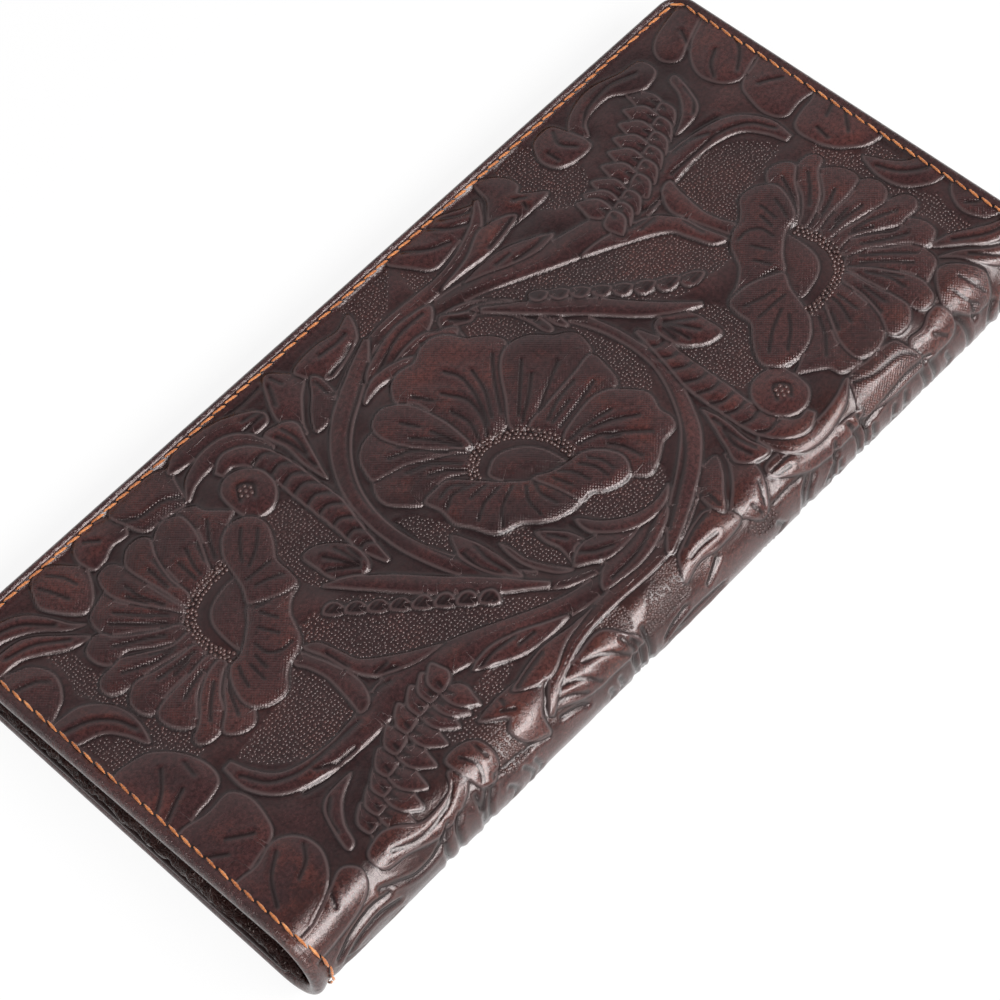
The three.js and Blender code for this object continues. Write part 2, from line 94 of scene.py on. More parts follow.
# The fold is as thick as the fullest place of the closed wallet: the last pocket's mouth over the zip's stud.
LAST_MOUTH = POCKET_SEAM + (len(TIERS) - 1) * POCKET_STEP + POCKET_DEPTH * np.cos(POCKET_RISE)
FULLEST_HEIGHT = POCKET_TOP + STUD_TOP + FACING_CLEARANCE
TILT_RISE = np.tan(CLOSING_TILT)
ROOM_PER_RADIUS = 1 + np.cos(CLOSING_TILT) + TILT_RISE * (1 + np.sin(CLOSING_TILT))
FOLD_RADIUS = (FULLEST_HEIGHT + TILT_RISE * (WIDTH - LAST_MOUTH)) / ROOM_PER_RADIUS

# Places across the wallet, and ways along the leather from the open edge.
FOLD_Y = FOLD_RADIUS - WIDTH / 2
OPEN_Y = WIDTH / 2
ZIP_Y = FOLD_Y + ZIP_FROM_FOLD
STRIP_TURN = ZIP_Y - TAPE_INNER - TAPE_WIDTH - SEAT_GAP
FLAT_LENGTH = OPEN_Y - FOLD_Y
HALF_SWEEP = (np.pi + CLOSING_TILT) / 2
FOLD_MIDDLE = FLAT_LENGTH + FOLD_RADIUS * HALF_SWEEP


def smoothstep(low, high, x):
    """0 below low, 1 above high, with a soft turn between."""
    t = np.clip((x - low) / (high - low), 0.0, 1.0)
    return t * t * (3 - 2 * t)


def along_leather(u, s, depth):
    """A point of the back half: s runs along the leather from the open edge, depth goes into the wallet."""
    turn = np.maximum(s - FLAT_LENGTH, 0.0) / FOLD_RADIUS
    y = OPEN_Y - np.minimum(s, FLAT_LENGTH) - (FOLD_RADIUS - depth) * np.sin(turn)
    z = FOLD_RADIUS - (FOLD_RADIUS - depth) * np.cos(turn)
    return np.stack(np.broadcast_arrays(u, y, z), axis=-1)


def to_front(points):
    """The same point on the closed front half, which lies over the back half at the closing tilt."""
    points = np.asarray(points, float)
    a = points[..., 1] - FOLD_Y
    b = FOLD_RADIUS - points[..., 2]
    y = FOLD_Y + a * np.cos(CLOSING_TILT) + b * np.sin(CLOSING_TILT)
    z = FOLD_RADIUS - a * np.sin(CLOSING_TILT) + b * np.cos(CLOSING_TILT)
    return np.stack([points[..., 0], y, z], axis=-1)


def to_back(points):
    """The same point: the back half is drawn where it lies."""
    return np.asarray(points, float)


# Tooling of the cover, drawn in millimetres: u along the wallet, s along the leather from the open edge.
TOOL_STEP = 0.2
TOOL_HALF = 96.0
TOOL_END = 98.0
TURN_U, TURN_S = -1.0, 95.0
END_FROM, END_TO, END_SHIFT = 38.0, 56.0, 4.2
REACH = 5.0
CUT_REACH = 2.5
RIM_REACH = 3.0
HATCH_REACH = 6.0

tool_u = np.arange(-TOOL_HALF, TOOL_HALF + TOOL_STEP / 2, TOOL_STEP)
tool_s = np.arange(0.0, TOOL_END + TOOL_STEP / 2, TOOL_STEP)
relief = np.zeros((len(tool_s), len(tool_u)))
cut = np.full(relief.shape, REACH)
mat = np.zeros(relief.shape)
hatch = np.zeros(relief.shape)
inward = np.full(relief.shape, -RIM_REACH)
bead_spots = []


def turned(points):
    """The same points half a turn round the middle of the cover; the two ends lie a little further along."""
    kept = []
    for u, s in points:
        out = smoothstep(END_FROM, END_TO, -u) + smoothstep(END_FROM, END_TO, u - END_SHIFT)
        kept.append((TURN_U - u + END_SHIFT * out, TURN_S - s))
    return kept


def smooth(points, closed=False, per=5):
    """A smooth curve through given points."""
    p = np.array(points, float)
    if closed:
        p = np.vstack([p[-1:], p, p[:2]])
    else:
        p = np.vstack([2 * p[:1] - p[1:2], p, 2 * p[-1:] - p[-2:-1]])
    t = np.linspace(0.0, 1.0, per, endpoint=False)[:, None]
    spans = []
    for a, b, c, d in zip(p[:-3], p[1:-2], p[2:-1], p[3:]):
        spans.append(b + 0.5 * t * (c - a + t * (2 * a - 5 * b + 4 * c - d + t * (3 * (b - c) + d - a))))
    return np.vstack(spans + [p[-2:-1]])


def band(points, widths):
    """The outline of a stem from its middle line and half widths."""
    middle = smooth(points, per=4)
    half = np.interp(np.linspace(0, 1, len(middle)), np.linspace(0, 1, len(widths)), widths)
    along = np.gradient(middle, axis=0)
    across = np.stack([-along[:, 1], along[:, 0]], axis=1)
    across /= np.linalg.norm(across, axis=1)[:, None] + 1e-9
    left = middle + across * half[:, None]
    right = middle - across * half[:, None]
    return np.vstack([left, right[::-1], left[:1]])


def reach_of(curve, reach):
    """The rows and columns of the sheet that a curve can touch."""
    low = np.floor((curve.min(axis=0) - reach + (TOOL_HALF, 0)) / TOOL_STEP).astype(int)
    high = np.ceil((curve.max(axis=0) + reach + (TOOL_HALF, 0)) / TOOL_STEP).astype(int) + 1
    low, high = np.maximum(low, 0), np.maximum(high, 0)
    return slice(low[1], high[1]), slice(low[0], high[0])


def distance(curve, place, reach):
    """How far each point of a place on the sheet lies from a curve, up to reach."""
    at_s, at_u = tool_s[place[0]], tool_u[place[1]]
    far = np.full((len(at_s), len(at_u)), reach)
    if far.size == 0:
        return far
    for (u0, s0), (u1, s1) in zip(curve[:-1], curve[1:]):
        i = slice(*np.searchsorted(at_u, (min(u0, u1) - reach, max(u0, u1) + reach)))
        j = slice(*np.searchsorted(at_s, (min(s0, s1) - reach, max(s0, s1) + reach)))
        du, ds = u1 - u0, s1 - s0
        pu, ps = at_u[None, i] - u0, at_s[j, None] - s0
        t = np.clip((pu * du + ps * ds) / (du * du + ds * ds + 1e-9), 0, 1)
        far[j, i] = np.minimum(far[j, i], np.hypot(pu - t * du, ps - t * ds))
    return far


def inside(curve, place):
    """Which points of a place on the sheet lie inside a closed curve."""
    at_s, at_u = tool_s[place[0]], tool_u[place[1]]
    hit = np.zeros((len(at_s), len(at_u)), bool)
    for (u0, s0), (u1, s1) in zip(curve[:-1], curve[1:]):
        if s0 == s1:
            continue
        first, last = np.searchsorted(at_s, (min(s0, s1), max(s0, s1)))
        for j in range(first, last):
            u = u0 + (at_s[j] - s0) * (u1 - u0) / (s1 - s0)
            hit[j, np.searchsorted(at_u, u):] ^= True
    return hit


def raise_shape(curve, level=0.0, dome=0.32, roundness=1.9, bevel=0.38, slope=1.7, sag=0.0):
    """A raised petal, leaf or stem: it swells behind its edge and the ground beside it is pressed down."""
    place = reach_of(curve, REACH)
    far = distance(curve, place, REACH)
    within = inside(curve, place)
    swell = level + dome * (1 - np.exp(-far / roundness)) * (1 - sag * smoothstep(2.2, REACH, far))
    relief[place] = np.where(within, swell, relief[place] - bevel * np.exp(-(far / slope) ** 1.3))
    beside = np.where(far < np.abs(inward[place]), -far, inward[place])
    inward[place] = np.where(within, np.minimum(far, RIM_REACH), beside)
    cut[place] = np.where(within, far, np.minimum(cut[place], far))
    mat[place][within] = 0
    hatch[place][within] = 0
    return place, within, far


def cut_line(points, depth=0.26, width=0.5, ridge=0.14):
    """A knife cut, deepest in the middle of its length, with a low swell on both sides."""
    curve = smooth(points)
    place = reach_of(curve, CUT_REACH)
    far = distance(curve, place, CUT_REACH)
    relief[place] += ridge * np.exp(-((far - 1.0) / 0.5) ** 2) - depth * np.exp(-(far / width) ** 2)
    cut[place] = np.minimum(cut[place], far)


def stipple(points, depth=0.30):
    """Matted ground: pressed down and pricked all over."""
    curve = smooth(points, closed=True)
    place = reach_of(curve, 0.0)
    within = inside(curve, place)
    far = distance(curve, place, CUT_REACH)
    relief[place] -= np.where(within, depth * np.minimum(far / 0.8, 1.0), 0.0)
    mat[place][within] = 1


def soften(field, reach):
    """A drawn field with its steps rounded off over a reach."""
    steps = np.arange(-int(3 * reach / TOOL_STEP), int(3 * reach / TOOL_STEP) + 1)
    share = np.exp(-0.5 * (steps * TOOL_STEP / reach) ** 2)
    share /= share.sum()
    wide = np.pad(field, len(steps) // 2, mode="edge")
    wide = np.apply_along_axis(np.convolve, 0, wide, share, mode="valid")
    return np.apply_along_axis(np.convolve, 1, wide, share, mode="valid")


def bead(u, s, size):
    """One seed bead, in a shallow dip."""
    around = reach_of(np.array([(u, s)] * 2), 2 * size)
    gap = np.hypot(tool_u[None, around[1]] - u, tool_s[around[0], None] - s)
    relief[around] -= 0.12 * np.exp(-(gap / size) ** 2)
    bead_spots.append((u, s))


def seeds(points, pitch=0.92, rows=(-0.72, 0.0, 0.72), size=0.48):
    """Uneven rows of seed beads along a curve."""
    chance = np.random.default_rng(SEED)
    curve = smooth(points, per=12)
    along = np.concatenate([[0], np.cumsum(np.linalg.norm(np.diff(curve, axis=0), axis=1))])
    for row, offset in enumerate(rows):
        for d in np.arange(0.3 + 0.5 * pitch * (row % 2), along[-1], pitch):
            u = np.interp(d, along, curve[:, 0])
            s = np.interp(d, along, curve[:, 1])
            ahead_u = np.interp(d + 0.3, along, curve[:, 0]) - np.interp(d - 0.3, along, curve[:, 0])
            ahead_s = np.interp(d + 0.3, along, curve[:, 1]) - np.interp(d - 0.3, along, curve[:, 1])
            far = np.hypot(ahead_u, ahead_s) + 1e-9
            stray_u, stray_s = chance.uniform(-0.17, 0.17, 2)
            bead(u - offset * ahead_s / far + stray_u, s + offset * ahead_u / far + stray_s, size)


# A fern's leaflet and its vein, round the rib.
LEAFLET = ((0.4, 0.3), (1.1, -1.7), (0.7, -4.0), (-1.2, -6.0), (-2.6, -6.6), (-3.2, -4.4), (-3.5, -2.2),
           (-2.4, -0.4))
LEAFLET_VEIN = ((-0.6 * 0.6, -1.2 * 0.55), (-0.9 * 0.6, -3.4 * 0.55))


def ear(rib, way, count):
    """Pairs of overlapping leaflets along a rib, drawn from its tip to its foot."""
    line = smooth(rib, per=10)
    for k in np.linspace(0, len(line) - 1, count):
        u = np.interp(k, np.arange(len(line)), line[:, 0])
        s = np.interp(k, np.arange(len(line)), line[:, 1])
        for side, longer in ((1, 1.0), (-1, 0.8)):
            outline = [(u + way * x, s + way * side * longer * y) for x, y in LEAFLET]
            raise_shape(smooth(outline, closed=True), dome=0.4, roundness=1.5, bevel=0.3, slope=1.0)
            vein = [(u + way * x, s + way * side * longer * y) for x, y in LEAFLET_VEIN]
            cut_line(vein, depth=0.12, ridge=0.06)


def both(paint, points, *more, **settings):
    """Paints a thing where it is drawn and again half a turn round."""
    paint(points, *more, **settings)
    paint(turned(points), *more, **settings)


def leaf(points, veins=(), hatched=False, **settings):
    """A raised shape drawn by its outline, with its veins."""
    place, within, far = raise_shape(smooth(points, closed=True), **settings)
    if hatched:
        hatch[place][within] = np.clip((HATCH_REACH - far[within]) / 3.0, 0, 1)
    for vein in veins:
        cut_line(vein)


def leaf_both(points, veins=(), **settings):
    """A leaf and its twin half a turn round."""
    leaf(points, veins, **settings)
    leaf(turned(points), [turned(v) for v in veins], **settings)


def stem_both(points, widths, **settings):
    """A stem and its twin half a turn round."""
    raise_shape(band(points, widths), **settings)
    raise_shape(band(turned(points), widths), **settings)


# Matted ground between the leaves.
for patch in (
    [(-76.5, 54.5), (-72, 53.8), (-68, 53), (-62.5, 52.7), (-60, 50.5), (-58, 50), (-57, 53), (-56.4, 56),
     (-56.8, 61.5), (-58.5, 64.5), (-63, 65), (-68, 64), (-72, 62), (-75.5, 58)],
    [(-41, 24.5), (-38, 24), (-35, 25), (-34.2, 30), (-33.8, 36), (-34, 44), (-39, 46), (-44.5, 41),
     (-45.8, 36), (-45.5, 32), (-43, 29)],
    [(-53, 45), (-48, 45), (-43, 46), (-41, 48), (-37, 52), (-33, 57.5), (-28, 63), (-24, 68), (-19, 74),
     (-24, 73), (-30, 70), (-38, 66), (-45, 61.5), (-51, 57), (-54, 50)],
    [(0, 3), (5, 2.5), (12, 2.5), (10, 6), (6, 9.8), (2, 10.6), (-2, 10), (0, 6.5)],
    [(41, 3), (47, 2.5), (50.5, 5), (53, 9), (53.3, 13), (52, 17), (49, 19.5), (45, 20), (41, 17), (39, 13),
     (41, 10), (42, 7)],
    [(-94, 34), (-90, 34.5), (-86.5, 38), (-84.5, 42), (-88, 42.5), (-94, 42)],
    [(82, 46), (86, 45), (87, 50), (88, 53.5), (86.8, 58), (87.8, 62), (88.6, 67), (90, 70), (88.6, 73),
     (88, 81), (84, 81), (84.5, 73), (83.5, 68), (84, 62), (83, 57), (82, 51)],
    [(12, 11), (13, 6), (16, 9), (18, 11)],
):
    both(stipple, patch)
for patch in (
    [(-26.4, 43), (-23, 44), (-21, 48), (-19, 52), (-21.5, 53), (-23.5, 57), (-25.8, 54), (-26.6, 48)],
    [(-17, 59), (-12, 60.5), (-11.4, 65), (-11.2, 68), (-12, 71), (-14.5, 73), (-17, 68), (-17.5, 63)],
    [(11, 24.5), (14.5, 22.6), (17, 24), (19, 28), (20, 31), (20, 34), (17, 34), (14, 30), (12, 27)],
    [(24, 36.5), (26.4, 39), (27.6, 44), (28, 48), (27.2, 52), (26, 56), (23.4, 58), (20, 53), (21, 46),
     (22, 41)],
    [(-4, 64), (0, 64), (6, 67), (12, 69), (13, 71), (11, 73), (8, 74), (4, 74), (1, 72.6), (-2, 69.6)],
    [(-46, 77.5), (-42, 76), (-38, 75.4), (-33, 75.8), (-33.5, 78), (-37, 79.4), (-38, 82), (-37.4, 86),
     (-38, 90.5), (-42, 91.5), (-46.4, 90), (-47.4, 86), (-46.6, 81.5)],
):
    stipple(patch)

# Leaves and lobes along the two ends, low and soft.
LOBE_BEVEL = 0.22
leaf_both([(-95, 13.6), (-89, 14.4), (-86.8, 17), (-86.3, 20), (-87.6, 23), (-90, 25), (-95, 25.6)],
          [[(-93, 17), (-89.5, 18.5), (-88, 20)]], hatched=True, bevel=LOBE_BEVEL)
leaf_both([(-95, 27), (-89, 27), (-85.5, 29.1), (-83.3, 32.3), (-82.8, 37), (-84.6, 41.8), (-86.5, 37.8),
           (-89, 34.4), (-95, 31.8)],
          [[(-93, 29.3), (-88.5, 31.2), (-85.6, 34.3), (-84.3, 38)]], bevel=LOBE_BEVEL)
leaf_both([(-95, 42.8), (-88, 42), (-84, 44.8), (-81.7, 48.5), (-80.9, 53), (-81.8, 55.8), (-84.5, 57),
           (-88, 57.4), (-95, 57.6)],
          [[(-87, 47), (-90, 50.2), (-93, 52.2)], [(-87.2, 52.5), (-90, 53.5), (-93, 54.8)],
           [(-83.5, 49), (-84, 52)]], bevel=LOBE_BEVEL)
leaf_both([(-95, 58.6), (-87, 58.6), (-82.4, 58.4), (-80.5, 62), (-81.4, 67), (-83, 69.8), (-87, 71),
           (-95, 71.4)],
          [[(-89, 64.6), (-86.6, 66.4), (-85, 67.4)], [(-93, 65), (-90.6, 67)]], bevel=LOBE_BEVEL)
leaf_both([(-95, 72.6), (-89, 71.8), (-84, 70.6), (-80.5, 73), (-79.5, 77.5), (-82, 82), (-87, 85),
           (-95, 86)],
          [[(-92, 80), (-89, 75.5), (-85, 72.6)], [(-86, 79), (-83, 77.5), (-81, 75)]], bevel=LOBE_BEVEL)
leaf_both([(-95, 87), (-90, 86.2), (-84, 84), (-80, 82.6), (-77.6, 85.2), (-79, 88.6), (-84, 90.8),
           (-95, 92)],
          [[(-85.4, 87), (-83.6, 83.6)]], bevel=LOBE_BEVEL)

# Leaves under the top edge.
leaf_both([(-94, 3.2), (-88, 4), (-83, 5.8), (-80, 8.8), (-77.6, 13.6), (-75.6, 16.4), (-79, 14.6),
           (-83, 10.6), (-88, 8), (-94, 7)], [[(-90, 5.4), (-84, 7.6), (-79.6, 12.4)]])
leaf_both([(-95, 10), (-88, 9.4), (-84, 10.8), (-80.5, 14.4), (-76.6, 18.8), (-81, 18), (-85, 15.2),
           (-89, 13), (-95, 12.8)], [[(-90, 11), (-85, 12.6), (-80, 16.6)]])
leaf_both([(-78.5, 5.5), (-79.2, 8), (-77.4, 11.6), (-75, 14.4), (-72.5, 14.4), (-70, 12), (-68.1, 8.3),
           (-69.5, 5.6), (-72.5, 2.6), (-76.5, 2.6)],
          [[(-76.6, 5), (-75.4, 8), (-74.6, 10.6)], [(-74, 4), (-72.4, 6.4), (-71.6, 9.4)]], hatched=True)
leaf_both([(-65, 9.6), (-62, 8.4), (-58.5, 8.6), (-57.8, 6), (-59.5, 2.6), (-66, 2.6), (-68.4, 5.6),
           (-67.6, 9.4)],
          [[(-65, 4), (-63, 6)]])
leaf_both([(-58.4, 3), (-57.6, 7.6), (-56, 10.8), (-51, 11.4), (-47.4, 11.8), (-45.4, 7.4), (-44.4, 4),
           (-48, 2.6), (-54, 2.4)], [[(-58, 5.4), (-55, 7.8), (-50, 8.5), (-46.6, 10.4)]], hatched=True)
leaf_both([(-45.5, 5.2), (-41, 6.4), (-36, 6.8), (-32, 8), (-29.4, 10.6), (-25.6, 10.6), (-25, 8), (-29, 5),
           (-34, 3), (-42, 2.6)],
          [[(-30.6, 8.9), (-25.6, 9)], [(-29, 7.3), (-25, 8)], [(-30, 4), (-26, 4.4), (-22, 4.2)]])
leaf_both([(-24.6, 11), (-22.6, 7), (-19.6, 3), (-16.6, 5.4), (-14.6, 8.7), (-18, 11.8), (-21.5, 15.6),
           (-23, 18), (-24.4, 14)], [[(-22.6, 9.4), (-20.6, 5.6)], [(-19.2, 4.6), (-18.6, 7)]])
leaf_both([(-15.6, 6.6), (-9, 5.5), (-4, 6.3), (0.4, 5), (-1.5, 9.5), (-4, 11), (-9, 12.6), (-12.4, 12.4)],
          [[(-10, 8), (-6, 8.3), (-3.4, 8)], [(-11.4, 12), (-7, 11.5), (-4.4, 10.4)]])
leaf_both([(-21.8, 18.8), (-20, 15.5), (-17, 12.7), (-14.2, 9.6), (-12.9, 11.6), (-13.1, 14.6), (-14, 16.4),
           (-18, 19)], [[(-14.3, 11.4), (-14.6, 14.4)]], hatched=True)
leaf_both([(12.8, 2.4), (15, 7), (18, 10.4), (24, 9.9), (30.6, 8.8), (34.6, 6.3), (31, 4.5), (26, 2.4),
           (19, 2)],
          [[(16.4, 3), (20, 6.6), (24, 8.3)], [(23.4, 3.2), (26, 6.2), (29.6, 8)],
           [(26.6, 3.4), (29.4, 5.4), (32.4, 6.4)]])
leaf_both([(36.4, 2.4), (39.5, 3.6), (41.6, 6.2), (41.9, 9), (40.4, 10.3), (42.4, 12), (44.4, 14.4),
           (38.5, 15), (33, 14.2), (30.4, 12.3), (33, 9), (35.4, 6.4)],
          [[(38.4, 10.8), (40.4, 12.2)], [(38.8, 13.8), (39.2, 12.8)]])

# Scroll stems under and over the middle flower.
stem_both([(-79, 54.5), (-78.4, 59.6), (-75.6, 64), (-70.5, 66.3), (-64, 67.2), (-57, 66.8), (-50, 66),
           (-44, 67), (-36, 70), (-28, 73.4), (-20, 76.8), (-12, 78.4), (-4, 78.4)],
          (1.0, 2.0, 2.2, 2.3, 2.5, 2.9, 3.4, 3.6, 3.0, 2.5, 2.2, 2.0, 1.6), dome=0.36, roundness=1.4)
for line in ([(-79, 58), (-76.6, 62.6), (-71.6, 65.2), (-66, 65.6), (-58.6, 65.8)],
             [(-74.2, 68.2), (-70, 69.2), (-66.4, 69.2)], [(-70, 66.6), (-66.6, 68.5), (-62.6, 69)]):
    both(cut_line, line)
stem_both([(-35.4, 90), (-31.4, 86), (-25, 83.2), (-19, 81.9), (-12, 81.9), (-4, 82.3), (4, 81.6),
           (12.4, 79)],
          (0.6, 1.2, 1.5, 1.6, 1.6, 1.6, 1.5, 0.6))
raise_shape(band([(-1.4, 11.4), (-7, 15.2), (-13, 18.5), (-18.5, 22), (-23, 26.5), (-26.3, 32), (-28, 38),
                  (-28.4, 44), (-27.6, 50), (-25.4, 57), (-22.6, 63), (-19.4, 68.5), (-15, 73), (-9, 76.5)],
                 (0.7, 1.9, 2.2, 2.2, 2.0, 1.8, 1.6, 1.5, 1.7, 1.9, 2.0, 2.0, 2.0, 1.0)), dome=0.36)
raise_shape(band([(0.4, 83.6), (6, 79.8), (12, 76.5), (17.5, 73), (22.5, 68.5), (26.3, 62), (28.4, 56),
                  (28.9, 50),
                  (28.3, 44), (26.8, 38.5), (24.6, 33), (22, 28.5), (19.5, 25), (16, 21.5), (10, 18.5)],
                 (0.7, 1.9, 2.2, 2.2, 1.9, 1.5, 1.2, 1.1, 1.1, 1.2, 1.4, 1.6, 1.8, 1.8, 1.0)), dome=0.36)
for line in ([(-5, 15.6), (-12, 19.6), (-18, 23.4), (-22.4, 28), (-25.4, 33), (-26.8, 38.4)],
             [(-26, 43), (-26.2, 48), (-25, 54), (-23.2, 59)],
             [(4, 80), (11, 76), (17, 72.2), (21.4, 67.4), (25, 62), (27.4, 56)]):
    cut_line(line, depth=0.16)
leaf_both([(-8, 17.6), (-3, 15), (3, 13.8), (8, 14.2), (11.6, 15.1), (10, 17.5), (7, 19), (2, 19.8), (-3, 20),
           (-8, 20.6)], [[(-6, 18.6), (2, 15.8), (9, 15.6)]])
leaf([(10.6, 18), (13.4, 20.4), (16.6, 22.2), (14, 23.4), (11.4, 22), (9, 20.4)],
     [[(11.4, 20.2), (13.6, 22.4)]])
leaf([(15.4, 21.4), (19.5, 23), (21.6, 27), (22.5, 31), (22.5, 35.8), (20.7, 35.6), (20.2, 31), (18.8, 27)],
     [[(18.4, 24), (20.8, 28.4), (21.5, 33)]])
leaf([(20.4, 23.4), (23.2, 27.4), (24.7, 32.4), (24.7, 37.8), (23.1, 35.8), (22.7, 31), (21.8, 27)])
leaf([(-24.2, 57.6), (-23.6, 55), (-21.6, 51.8), (-20.4, 54.4), (-19.4, 58.4), (-19, 62.6), (-19.4, 67.4),
      (-21.6, 65), (-23.2, 62)],
      [[(-23.1, 56.4), (-23.3, 60), (-22, 64)], [(-20.6, 57), (-21.1, 60.6), (-20.4, 65)]])
leaf([(-17.4, 59.4), (-18, 63), (-17.4, 67), (-15.2, 71.6), (-12.6, 73), (-14.8, 69), (-16.4, 65),
      (-16.6, 61)])
leaf_both([(-11.6, 62.6), (-9.4, 65), (-7.6, 67.6), (-7, 70.6), (-9.4, 70.4), (-12, 72.4), (-11.4, 68.6),
           (-12, 65.4)], [[(-10.6, 65), (-9.2, 68)], [(-6.6, 66.4), (-6.2, 69)]])
leaf_both([(-12.4, 72.4), (-9, 70.6), (-5.4, 71), (-1.4, 73.4), (2, 75.4), (-2, 76.6), (-7, 76.4),
           (-10, 74.6)],
          [[(-9.8, 71.4), (-8, 73.4), (-5, 75)]])
leaf_both([(-5, 66), (-2.4, 70), (1.6, 73), (6.4, 74.2), (11, 73.6), (8, 76), (3, 76.4), (-2, 74.4),
           (-5.6, 70)])

# Volutes with ribbed bands.
volute_band = [(-39.6, 12), (-36.4, 11.2), (-33.6, 13), (-32, 16), (-31.4, 20), (-31.4, 26), (-31.4, 32),
               (-32, 37), (-32.6, 42), (-32.4, 47.4)]
stem_both([(-47, 11.8), (-43.4, 9.2), (-38.6, 8.2), (-34, 8.8), (-30.8, 11.6), (-29.2, 15.6)],
          (0.4, 1.4, 1.9, 2.0, 1.8, 0.8))
stem_both(volute_band, (1.0, 1.8, 2.2, 2.5, 2.6, 2.8, 2.8, 2.2, 1.8, 0.5), dome=0.40)
for rib in ([(-34.4, 15.2), (-31.4, 15), (-29.8, 16.4)], [(-33.8, 19.2), (-31, 18.8), (-29, 20)],
            [(-33.8, 22.3), (-31, 22), (-28.9, 23.4)], [(-34, 25.2), (-31, 25), (-28.8, 26.8)],
            [(-34.2, 28.6), (-31.4, 28.3), (-28.8, 30)], [(-34.2, 31.6), (-31.6, 31.4), (-29, 33.4)],
            [(-34, 35), (-32, 35), (-29.8, 36.8)], [(-33.8, 38.4), (-32, 38.4), (-30.4, 40)],
            [(-33.6, 41.8), (-32.4, 41.8), (-31.2, 43)]):
    both(cut_line, rib, depth=0.26)
leaf_both([(-42.6, 16), (-40, 13.4), (-36.6, 13.8), (-34.2, 16.4), (-33.7, 19.2), (-34.6, 22), (-37, 24),
           (-40, 24.2), (-42.6, 22)], dome=0.34)
leaf_both([(-28.6, 12), (-25, 12.4), (-22.6, 15), (-24, 19), (-26, 24), (-27.4, 27.4), (-28.2, 22),
           (-27.8, 17)],
          [[(-27.2, 14.4), (-26.6, 18), (-27, 24)], [(-25.6, 14), (-25.2, 17.4), (-26.2, 21)]])
for eye in ((-39.0, 18.5), (38.0, 76.5)):
    cut_line([(eye[0] - 1.9, eye[1] + 0.6), (eye[0], eye[1] - 1.9), (eye[0] + 1.9, eye[1]),
              (eye[0] + 0.4, eye[1] + 1.9)], depth=0.2)
    bead(eye[0], eye[1], 0.5)
    for k in range(6):
        bead(eye[0] + 1.1 * np.cos(k * np.pi / 3), eye[1] + 1.1 * np.sin(k * np.pi / 3), 0.45)

# Leaf buds beside the volutes.
leaf_both([(-41.9, 35.2), (-39, 35.2), (-36, 37.4), (-34.5, 40), (-34.2, 43), (-34.8, 45.2), (-36.5, 46.2),
           (-39.5, 44.9), (-41.6, 42.2), (-42, 38.5)],
          [[(-39.6, 38.4), (-38, 41.6), (-36.6, 44.4)], [(-41, 40.6), (-38.8, 42.6), (-36.8, 44.6)],
           [(-37, 38.6), (-36.6, 41.4), (-36.2, 44)], [(-35.4, 40.4), (-35.5, 43.6)]])

# Pods: a smooth leaf over matted ground with a scalloped edge.
stem_both([(-43.6, 42), (-39.6, 46), (-35.4, 51), (-31.4, 56.4), (-27, 61.6), (-22.6, 66.6), (-17.6, 72)],
          (0.5, 1.5, 1.9, 2.0, 1.9, 1.5, 0.6), dome=0.34)
for step in range(8):
    u, s = -45.6 + 2.75 * step, 47.0 + 2.7 * step
    leaf_both([(u - 2.2, s - 0.7), (u - 0.4, s - 1.6), (u + 1.2, s - 0.8), (u + 1.5, s + 0.8),
               (u + 0.6, s + 2.1), (u - 1.0, s + 1.3)],
              [[(u - 1.5, s - 0.5), (u + 0.2, s - 0.6)], [(u - 1.2, s + 0.3), (u + 0.5, s + 0.3)],
               [(u - 0.5, s + 1.1), (u + 0.5, s + 1.2)]], dome=0.3, roundness=0.9, bevel=0.16, slope=0.8)
leaf_both([(-57.9, 49.4), (-56.9, 52), (-56.2, 56), (-56.9, 61.5), (-57.4, 65), (-54.5, 64.6), (-52.5, 60.5),
           (-53.3, 55), (-54.4, 51), (-55.5, 48.3)])
leaf_both([(-54.6, 48.2), (-52, 49.3), (-50.6, 54), (-49.4, 57.5), (-44, 62), (-38, 66), (-44, 65.4),
           (-50, 62.4),
           (-52.6, 58), (-53.4, 53)], [[(-52.8, 52.4), (-52.4, 56.8)], [(-50, 61.4), (-47.4, 61.6)]])
for line in ([(-54, 63.8), (-51.6, 63.7), (-49.6, 64.4)], [(-50.6, 62.8), (-48.6, 62.6), (-46.8, 63.4)]):
    both(cut_line, line)

# Fern leaves: a rib with pairs of leaflets.
ear([(-71.6, 81.8), (-66.6, 79.6), (-61.6, 76.4), (-55, 73.8), (-49, 72.6), (-45, 72.4)], -1, 9)
ear([(73, 16.6), (68, 19.6), (63, 22), (58, 24.2), (52, 25.8), (48, 26.6)], 1, 9)
leaf_both([(-77, 81), (-75.6, 75.6), (-74, 72.6), (-71, 71.2), (-66, 71.4), (-70.6, 74), (-73.6, 77.4),
           (-75, 81)],
          [[(-75.6, 77.6), (-74.6, 74.4), (-72, 72.2)]])
leaf_both([(-38.9, 73.4), (-34, 72.6), (-29, 74), (-24.4, 76.3), (-20, 78.6), (-25, 79), (-30, 78.4),
           (-34.4, 76.4)],
          [[(-38, 74.2), (-34, 73.9), (-29.4, 74.6)], [(-30, 76.2), (-26.6, 76.6)]])
leaf_both([(-37.5, 81.5), (-34, 80.2), (-28, 79.3), (-22, 80), (-16, 80.6), (-24, 81.9), (-30, 84.5),
           (-34, 83.9)],
          [[(-36.4, 81.6), (-33, 80.9), (-28.6, 80.2)]])
leaf_both([(-75.4, 84.4), (-71.4, 83), (-68.4, 84.2), (-64.4, 87), (-58, 86.4), (-55.4, 83.6), (-53.8, 87),
           (-57, 90), (-63.6, 91.4), (-70, 89.4), (-75, 88.4)],
          [[(-72, 86.8), (-66.6, 88.8), (-60, 88.2), (-56.6, 86)]])
